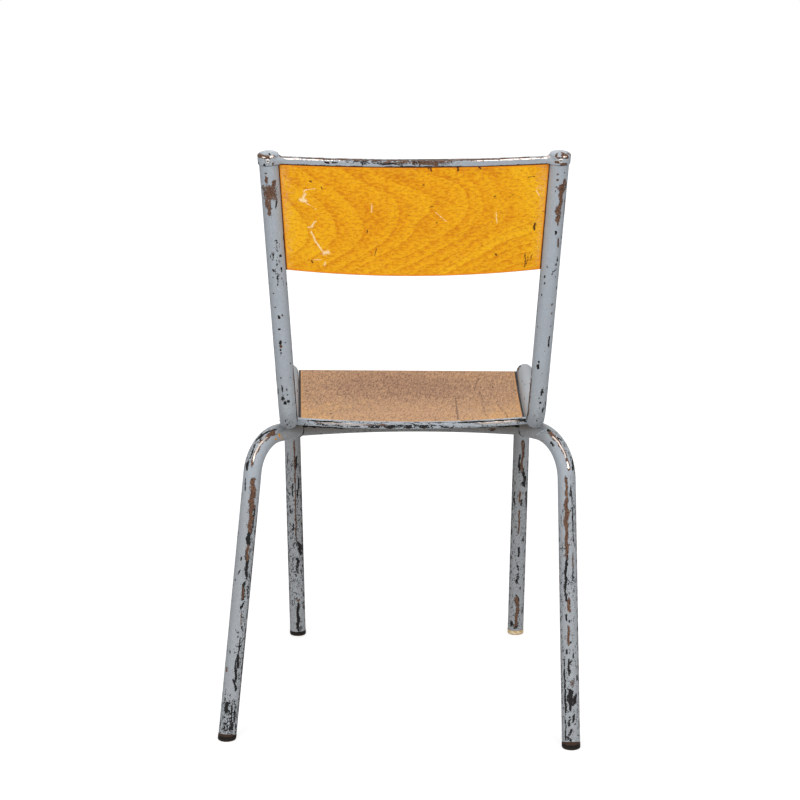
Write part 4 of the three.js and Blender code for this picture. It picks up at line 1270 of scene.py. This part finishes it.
def turned_piece(profile, origin, direction, sides=64):
    """Points and faces of a closed profile of (radius, height) turned round an axis."""
    direction = unit(direction)
    arm = unit(np.cross(direction, ACROSS + 0.1 * BACK))
    other = np.cross(direction, arm)
    cosines, sines = circle(sides)
    rays = cosines * arm + sines * other
    points = [origin + r * rays + h * direction for r, h in profile]
    faces = [(a, d, c, b) for a, b, c, d in quads(len(profile), sides, True)]
    return np.reshape(points, (-1, 3)), faces


def joined(parts):
    """Points and faces of several meshes as one."""
    points, faces, count = [], [], 0
    for part_points, part_faces in parts:
        points.append(part_points)
        faces += [tuple(count + i for i in face) for face in part_faces]
        count += len(part_points)
    return np.concatenate(points), faces


def upright_point(side, up_lean):
    return on_lean(side * upright_half_span(up_lean), up_lean)


def upright_way(side):
    return unit(upright_point(side, lean_length) - upright_point(side, 0))


hair = 0.00002  # radius of a turned solid at its axis


def dome(radius, rim, shoulder, crown, steps=12):
    turn = np.linspace(0, math.pi / 2, steps)
    rise = [(max(radius * math.cos(a), hair), shoulder + (crown - shoulder) * math.sin(a)) for a in turn]
    return [(radius, rim)] + rise


def cap_cup(side):
    outside = dome(cap_radius, -cap_skirt, 0, cap_dome)
    inside = dome(tube_radius + fit_gap, -cap_skirt, fit_gap, cap_dome - cap_wall)
    return turned_piece(outside + inside[::-1], upright_point(side, lean_length), upright_way(side), 96)


def cap_flare(side):
    middle = top_channel_top - top_channel_depth / 2
    reach = cap_radius + flare_length
    slim = (top_channel_depth - channel_corner) / 2
    wide = cap_radius - flare_mouth_inset
    t = np.linspace(0, 1, 16)
    swell = slim + (wide - slim) * (1 + np.cos(np.pi * t)) / 2
    profile = [(hair, flare_root)] + list(zip(swell, flare_root + (reach - flare_root) * t)) + [(hair, reach)]
    points, faces = turned_piece(profile, upright_point(side, middle), -side * ACROSS, 96)
    base = on_lean(0, 0)
    up = (points - base) @ up_the_lean
    lift = np.maximum(up, lean_length - cap_skirt) - up
    return points + lift[:, None] * up_the_lean, faces


section = channel_section(channel_width, top_channel_depth + 2 * strip_swell)
section = np.stack((-section[:, 1], section[:, 0] + strip_swell), axis=1)
top_line = bowed_line(
    on_lean(-top_half_span, top_channel_top, -backrest_set_forward),
    on_lean(top_half_span, top_channel_top, -backrest_set_forward),
    behind_the_lean * backrest_bow + up_the_lean * backrest_arch, 200,
)
rings, along = swept(*top_line, up_the_lean, section)
trims = [(rings.reshape(-1, 3), ring_faces(len(rings), len(section)))]
for side in (LEFT, RIGHT):
    trims += [cap_cup(side), cap_flare(side)]
top_rail = smooth_piece("top_rail_pressed", *joined(trims))


def fused(piece, voxel, smoothing):
    """Melts the overlapping solids of a piece into one skin, and softens the joins."""
    remesh = piece.modifiers.new("fuse", "REMESH")
    remesh.mode = "VOXEL"
    remesh.voxel_size = voxel
    remesh.use_smooth_shade = True
    soften = piece.modifiers.new("soften", "SMOOTH")
    soften.factor = 0.5
    soften.iterations = smoothing
    depsgraph = bpy.context.evaluated_depsgraph_get()
    mesh = bpy.data.meshes.new_from_object(piece.evaluated_get(depsgraph))
    piece.modifiers.clear()
    piece.data = mesh
    mesh.shade_smooth()
    points = np.empty(len(mesh.vertices) * 3)
    mesh.vertices.foreach_get("co", points)
    return points.reshape(-1, 3)


points = fused(top_rail, melt_voxel, melt_smoothing)
across = points[:, 0] - chair_place[0]
up = (points - on_lean(0, 0)) @ up_the_lean
behind = (points - on_lean(0, 0)) @ behind_the_lean
share = across / top_half_span
middle_up = top_channel_top - top_channel_depth / 2 + backrest_arch * (1 - share**2)
store(top_rail, "surface_place", np.stack((behind + 9, up, across), axis=1))
wear = Wear(across, np.degrees(np.arctan2(up - middle_up, behind - backrest_behind(across))), 0.0052, 0.20)
wear.patches({  # along the rail from the middle towards the sitter's left, round its rear top corner
    "brown": [
        (-178, 178, 66, 4.4, 0.69), (-170, -106, 50, 2.2, 0.85), (-150, -40, 62, 2.4, 0.95), (-106, -72, 48, 3),
        (-74, -48, 55, 1.6, 0.9), (-50, 0, 50, 3.8, 0.7), (-42, -12, 12, 9, 0.7), (-38, 0, 8, 3.6, 0.74),
        (-20, 70, 58, 5, 0.66), (-2, 48, 54, 3.4, 0.7), (2, 44, 20, 3, 0.72), (40, 150, 60, 2.4, 0.95),
        (45, 114, 56, 2.4, 0.74), (112, 142, 50, 2, 0.95), (154, 168, 60, 1.4), (172, 179, 76, 3.5, 1),
    ],
    "black": [
        (-185, -50, 120, 2, 0.6), (-178, 178, 78, 4, 0.7), (-172, -80, -42, 1.2, 0.6), (-150, 150, 54, 4, 0.62),
        (-60, 40, -40, 1.6, 0.8), (-60, 90, 34, 10, 0.72), (22, 40, -2, 3, 0.95), (60, 172, -42, 1.4, 0.7),
        (60, 180, 110, 2, 0.6), (99, 107, 6, 2.4, 1), (110, 117, 4, 3.2, 1), (166, 173, 62, 2),
    ],
    "bright": [
        (-178, -168, 50, 3, 0.9), (-178, -70, 36, 1.5, 0.58), (-168, -112, 44, 1.6, 0.72), (90, 178, 36, 1.5, 0.58),
        (118, 140, 40, 1.2, 0.7), (146, 172, 42, 1.6, 0.8),
    ],
})
wear.scatter(61, count=40, low=-175, high=140)
cap_wear = {  # down from the shoulder of the cup, and round it from behind
    LEFT: {
        "brown": [
            (-2.6, 0.8, 40, 24, 1), (-2.2, 0.8, -30, 7, 0.9), (-1.8, 1.2, 0, 8, 1), (7.4, 10.2, -29, 3.2, 1),
        ],
        "black": [
            (-4, 12, 80, 5, 0.55), (-4, 12, 0, 40, 0.42), (-3.6, -2.2, -18, 4, 1), (7.6, 11, 20, 3, 1),
            (8, 12, 64, 4, 0.95), (10.9, 12.2, 0, 26, 0.95),
        ],
        "bright": [
            (-1.8, -0.2, -26, 5, 1), (-1.2, 0.2, 22, 4, 1),
        ],
    },
    RIGHT: {
        "brown": [
            (-4, 0.2, -20, 8, 1), (-3.4, 0.6, 32, 3, 1, -4), (-3, 0.4, -72, 4, 1), (-2.4, 2.2, -36, 5, 1),
            (-0.8, 1.2, -22, 9, 1), (-0.2, 2.2, 12, 5.5, 1), (5.4, 8.8, 19, 5.5, 1), (7.4, 11, -18, 9, 1),
        ],
        "black": [
            (-4, 12, -80, 5, 0.55), (-4, 12, 0, 40, 0.42), (2, 10, -78, 4, 0.9), (8.5, 12, -12, 5, 1),
            (10.9, 12.2, -8, 20, 0.95),
        ],
        "bright": [
            (-1.4, -0.2, -22, 5, 0.9),
        ],
    },
}
for side, places in cap_wear.items():
    out = points - upright_point(side, lean_length)
    height = out @ upright_way(side)
    out -= height[:, None] * upright_way(side)
    on_cap = np.linalg.norm(out, axis=1) < cap_radius + 0.0006
    around = np.degrees(np.arctan2(out @ ACROSS, out @ behind_the_lean))
    cap = Wear(-height, around, cap_radius)
    cap.patches(places)
    wear.amount[on_cap] = cap.amount[on_cap]
keep_wear(top_rail, wear)
finish_piece(top_rail, frame_paint, "grey_paint", "top_rail")


# ---------------------------------------------------------------- Cap rivets
# A tubular steel rivet holds each cup to its upright from behind. Its low round head
# is rolled over an open middle, closed by a shallow floor painted near black as the hollow's painted shade.
rivet_drop = 0.0044
rivet_head_radius = 0.0031
rivet_head_height = 0.0012
rivet_hole_radius = 0.0009
rivet_sink = 0.003
rivet_grey = ((0.55, 0.53, 0.50, 1), (0.86, 0.85, 0.83, 1))
hollow_painted_shade = (0.025, 0.022, 0.020, 1)


def rivet_steel_material():
    material, n, look = new_material("rivet_steel")
    place = n.stored("surface_place")["Vector"]
    grime = n.noise(place, 900, 4, 0.6)
    metal = n.above(n.axes(place)[0], 0.0012, 0.0005)
    # Inside the hole the colour is near black: painted shade of the hollow.
    n.put(n.mix(metal, hollow_painted_shade, n.mix(grime, *rivet_grey)), look["Base Color"])
    n.put(n.times(metal, 0.9), look["Metallic"])
    n.put(n.blend(grime, 0.25, 0.5), look["Roughness"])
    n.bump(grime, 0.3, 0.0002, look)
    return material


rivet_metal = rivet_steel_material()
for word, side in SIDES:
    surface = cap_radius + fit_gap
    rim = rivet_head_radius - rivet_hole_radius
    profile = [(rivet_hole_radius, surface - rivet_sink), (rivet_head_radius * 0.6, surface - rivet_sink)]
    profile += [(rivet_head_radius, surface - rivet_sink / 3)]
    for a in np.linspace(0, math.pi, 14):
        profile.append((rivet_hole_radius + rim / 2 * (1 + math.cos(a)), surface + rivet_head_height * math.sin(a)))
    seat_point = upright_point(side, lean_length - rivet_drop)
    # A shallow floor inside the hole, where a painted shade stands for the hollow's depth.
    floor_top, floor_low, floor_rim = surface - 0.0006, surface - 0.0012, rivet_hole_radius * 1.2
    floor_profile = [(hair, floor_top), (floor_rim, floor_top), (floor_rim, floor_low), (hair, floor_low)]
    points, faces = joined([turned_piece(p, seat_point, behind_the_lean, 40) for p in (profile, floor_profile)])
    rivet = smooth_piece(f"cap_rivet_{word}_rolled", points, faces, 50)
    out = points - seat_point
    height = out @ behind_the_lean
    radius = np.linalg.norm(out - height[:, None] * behind_the_lean, axis=1)
    store(rivet, "surface_place", np.stack((radius, out[:, 0], height), axis=1))
    finish_piece(rivet, rivet_metal, "rivet_steel", f"cap_rivet_{word}")


# ---------------------------------------------------------------- Weld beads
# The rear legs are welded under the seat rails and to the cross tube between them. The
# beads were laid by hand in short ripples, at the knees and on the legs too, and painted.
bead_radius = 0.0017
bead_sides = 14
ripple_pitch = 0.0028
crossing_reach = 0.0088  # from the middle of a crossing to its bead, where two tubes part
ridge_step = 0.0006  # between the two runs of a ridge


def bead(name, points, radius, seed, chips=0.3):
    """A rippled bead along a closed loop of points."""
    count = len(points)
    ways = np.roll(points, -1, axis=0) - np.roll(points, 1, axis=0)
    ways /= np.linalg.norm(ways, axis=1)[:, None]
    out = points - points.mean(axis=0)
    out -= ways * (out * ways).sum(axis=1)[:, None]
    out /= np.linalg.norm(out, axis=1)[:, None]
    other = np.cross(ways, out)
    length = distance_along(points)
    chance = np.random.default_rng(seed)
    rough = 1 + 0.10 * np.sin(length / ripple_pitch * 2 * math.pi) + 0.05 * chance.standard_normal(count)
    cosines, sines = circle(bead_sides)
    rings = points[:, None] + (radius * rough)[:, None, None] * (cosines * out[:, None] + sines * other[:, None])
    piece = smooth_piece(name, rings, quads(count, bead_sides, True), 60)
    store(piece, "surface_place", rings + seed)
    store(piece, "wear", np.tile((0, chips, 0, 0), count * bead_sides), "FLOAT_COLOR")
    finish_piece(piece, frame_paint, "grey_paint")


for word, side in SIDES:
    # round the place where the leg tube crosses under the rail
    leg_points, leg_ways = placed(leg_line(side))
    rail_points, rail_ways = placed(side_line(side))
    apart = np.linalg.norm((leg_points[:, None] - rail_points)[..., :2], axis=2)
    apart[:, rail_points[:, 2] > rail_height + 0.02] = 9
    i, j = np.unravel_index(np.argmin(apart), apart.shape)
    crossing = (leg_points[i] + rail_points[j]) / 2
    leg_way, rail_way = leg_ways[i], rail_ways[j]
    loop = []
    for a in np.linspace(0, 2 * math.pi, 72, endpoint=False):
        ray = math.cos(a) * ACROSS + math.sin(a) * BACK
        from_leg = np.linalg.norm(ray - leg_way * (ray @ leg_way))
        from_rail = np.linalg.norm(ray - rail_way * (ray @ rail_way))
        reach = crossing_reach / math.sqrt((from_leg**2 + from_rail**2) / 2 + 0.05)
        point = crossing + ray * reach
        above = rail_points[j][2] - math.sqrt(max(tube_radius**2 - (from_rail * reach) ** 2, 0))
        below = leg_points[i][2] + math.sqrt(max(tube_radius**2 - (from_leg * reach) ** 2, 0))
        loop.append((point[0], point[1], (above + below) / 2))
    bead(f"weld_under_rail_{word}", np.array(loop), bead_radius * 1.25, 11 + side)

    # round the butt between the cross tube and the leg tube
    inward = unit(stub_end(side) - elbow(side))
    centre = stub_end(side) + chair_place + inward * fit_gap
    arm = unit(np.cross(inward, UP))
    other = np.cross(inward, arm)
    loop = [centre + (rear_cross_radius + bead_radius * 0.5) * (math.cos(a) * arm + math.sin(a) * other)
            for a in np.linspace(0, 2 * math.pi, 84, endpoint=False)]
    bead(f"weld_on_cross_tube_{word}", np.array(loop), bead_radius * 0.7, 15 + side, 0.95)


def spot_on(line, guide, rear_angle, along, around):
    """A point on a tube, from its place along it and its angle round it from behind."""
    travelled = distance_along(line[0])
    middle, way = (np.array([np.interp(along, travelled, v[:, k]) for k in range(3)]) for v in line)
    way = unit(way)
    beside = unit(guide - way * (way @ guide))
    turn = math.radians(around + rear_angle)
    return middle + tube_radius * (math.cos(turn) * np.cross(beside, way) + math.sin(turn) * beside)


def ridge(name, spots, shift, radius, seed):
    """A short run of weld, laid out along the spots and back again a little to one side."""
    there = np.array(spots)
    back = there[::-1] + shift
    bead(name, np.concatenate((there, back)), radius, seed, 0.4)


knee_ring = 0.4055  # along the side tube, where the knee has turned under
knee_turns = np.linspace(-82, 82, 40)  # degrees round it, from behind
# along each leg from its inner end, and round it from behind
leg_ridge = {LEFT: ((0.0560, 12), (0.0480, 25), (0.0400, 38)), RIGHT: ((0.0385, 26), (0.0443, -2), (0.0500, -34))}
for word, side in SIDES:
    rail_line = placed(side_line(side))
    spots = [spot_on(rail_line, ACROSS, 0, knee_ring, a) for a in knee_turns]
    ridge(f"weld_on_knee_{word}", spots, -ridge_step * BACK, 0.0010, 21 + side)
    leg_tube = placed(leg_line(side))
    alongs, arounds = (np.interp(np.linspace(0, 2, 24), (0, 1, 2), known) for known in zip(*leg_ridge[side]))
    spots = [spot_on(leg_tube, BACK, 90, along, around) for along, around in zip(alongs, arounds)]
    ridge(f"weld_on_leg_{word}", spots, ridge_step * UP, 0.0012, 25 + side)


# ---------------------------------------------------------------- Foot glides
# Each leg stands on a moulded plug with a flange. Three are black rubber, scuffed brown
# at the floor. The front right one is a cream plastic replacement.
glide_lip = 0.0003
glide_edge = 0.0025
glide_shoulder = 0.0007
joint_grime = (0.060, 0.030, 0.018, 1)


def glide_material(name, light, dark, scuff):
    """Moulded rubber or plastic, scuffed towards the floor and dark with grime under the tube."""
    material, n, look = new_material(name)
    place = n.stored("surface_place")["Vector"]
    height = n.axes(place)[2]
    grime = n.noise(place, 240, 5, 0.62)
    fine = n.noise(place, 1300, 3)
    low = n.below(n.plus(height, n.times(grime, 0.006)), 0.0052, 0.004)
    colour = n.mix(n.above(grime, 0.5, 0.3), dark, light)
    colour = n.coat(colour, scuff, low, 0.8)
    joint = n.above(n.plus(height, n.times(grime, 0.002)), glide_height + 0.0002, 0.001)
    colour = n.coat(colour, joint_grime, joint, 0.8)
    n.put(colour, look["Base Color"])
    n.put(n.blend(fine, 0.55, 0.8), look["Roughness"])
    look["Specular IOR Level"].default_value = 0.15
    n.bump(n.plus(grime, n.times(fine, 0.4)), 0.5, 0.0004, look)
    return material


def glide_points(foot, corner, sides=72):
    """Rings from the middle of the sole, round the flange, up to its seat under the tube."""
    way = unit(corner - foot)
    seat_at = np.linalg.norm(above_glide(foot, corner) - foot) - fit_gap / 2
    flange = tube_radius + glide_lip
    arm = unit(np.cross(way, ACROSS))
    cosines, sines = circle(sides)
    tilted = cosines * arm + sines * np.cross(way, arm)
    level = tilted * (1, 1, 0)
    level /= np.linalg.norm(level, axis=1)[:, None]
    rings = [foot + hair * level]
    for a in np.linspace(0, math.pi / 2, 7):
        radius = flange - glide_edge * (1 - math.sin(a))
        rings.append(foot + radius * level + UP * glide_edge * (1 - math.cos(a)))
    for a in np.linspace(0, math.pi / 2, 6):
        radius = flange - glide_shoulder * (1 - math.cos(a))
        rings.append(foot + way * (seat_at - glide_shoulder * (1 - math.sin(a))) + radius * tilted)
    rings.append(foot + way * seat_at + hair * tilted)
    return np.array(rings)


black_rubber = glide_material(
    "black_rubber", (0.014, 0.013, 0.012, 1), (0.005, 0.005, 0.005, 1), (0.075, 0.040, 0.024, 1)
)
cream_plastic = glide_material("cream_plastic", (0.96, 0.84, 0.60, 1), (0.52, 0.34, 0.15, 1), (0.50, 0.30, 0.12, 1))
for word, side in SIDES:
    ends = (("front", front_foot(side), front_corner(side)), ("rear", rear_foot(side), elbow(side)))
    for end, foot, corner in ends:
        rings = glide_points(foot + chair_place, corner + chair_place)
        name = f"{end}_glide_{word}"
        glide = smooth_piece(f"{name}_moulded", rings, ring_faces(len(rings), rings.shape[1]), 50)
        store(glide, "surface_place", rings - foot - chair_place + (side, len(end), 0))
        cream = (end, side) == ("front", RIGHT)
        slot = "cream_plastic" if cream else "black_rubber"
        finish_piece(glide, cream_plastic if cream else black_rubber, slot, name)


# ---------------------------------------------------------------- Camera, floor and light
# The chair is seen from behind and above, with its front to the far side. It stands on a
# pale floor in a white room, between two large lamps behind it and two weak ones.
eye_from_chair = (0.06279, 2.81422, 1.04231)
eye_tilt, eye_turn = math.radians(78.31), math.radians(179.07)
camera_data = bpy.data.cameras.new("camera")
camera_data.sensor_width = 36
camera_data.lens = 93.87
camera_data.shift_y = 0.00145
camera = bpy.data.objects.new("camera", camera_data)
camera.location = Vector(chair_place) + Vector(eye_from_chair)
camera.rotation_euler = (eye_tilt, 0, eye_turn)
bpy.context.scene.collection.objects.link(camera)
bpy.context.scene.camera = camera

floor_size = 60.0
floor_mesh = bpy.data.meshes.new("floor")
floor_corners = [(-1, -1), (1, -1), (1, 1), (-1, 1)]
floor_mesh.from_pydata([(x * floor_size, y * floor_size, 0) for x, y in floor_corners], [], [(0, 1, 2, 3)])
floor = bpy.data.objects.new("floor", floor_mesh)
bpy.context.scene.collection.objects.link(floor)

floor_paint, n, look = new_material("floor_paint")
look["Roughness"].default_value = 0.9
look["Specular IOR Level"].default_value = 0
look["Emission Color"].default_value = (1, 1, 1, 1)
place = n.made("ShaderNodeNewGeometry")["Position"]
far = n.above(n.length(place), 1.6, 1.6)
mottle = n.noise(place, 3, 4)
plain = n.mix(mottle, (0.60, 0.60, 0.60, 1), (0.62, 0.62, 0.62, 1))
n.put(n.mix(far, plain, (0.30, 0.30, 0.30, 1)), look["Base Color"])
rays = n.made("ShaderNodeLightPath")
n.put(n.times(rays["Is Camera Ray"], n.blend(far, 0.58, 1.0)), look["Emission Strength"])
floor_mesh.materials.append(floor_paint)

world = bpy.data.worlds.new("studio")
world.use_nodes = True
n = Nodes(world.node_tree)
background = world.node_tree.nodes["Background"]
background.inputs["Color"].default_value = (1, 1, 1, 1)
rays = n.made("ShaderNodeLightPath")
seen = n.most(n.most(rays["Is Camera Ray"], rays["Is Glossy Ray"]), rays["Is Transmission Ray"])
n.put(n.blend(seen, 0.42, 1.0), background.inputs["Strength"])
bpy.context.scene.world = world
bpy.context.scene.view_settings.view_transform = "Standard"


def softbox(name, place, size, power):
    """A square lamp that faces the middle of the chair."""
    data = bpy.data.lights.new(name, "AREA")
    data.size = size
    data.energy = power
    lamp = bpy.data.objects.new(name, data)
    lamp.location = place
    lamp.rotation_euler = (Vector((0, 0, 0.45)) - Vector(place)).to_track_quat("-Z", "Y").to_euler()
    bpy.context.scene.collection.objects.link(lamp)


softbox("left_box", (1.5, 2.6, 1.9), 1.5, 44)
softbox("right_box", (-1.5, 2.6, 1.9), 1.5, 40)
softbox("front_box", (0, -2.2, 2.2), 1.5, 18)
softbox("top_box", (0, 0.2, 2.7), 1.6, 7)
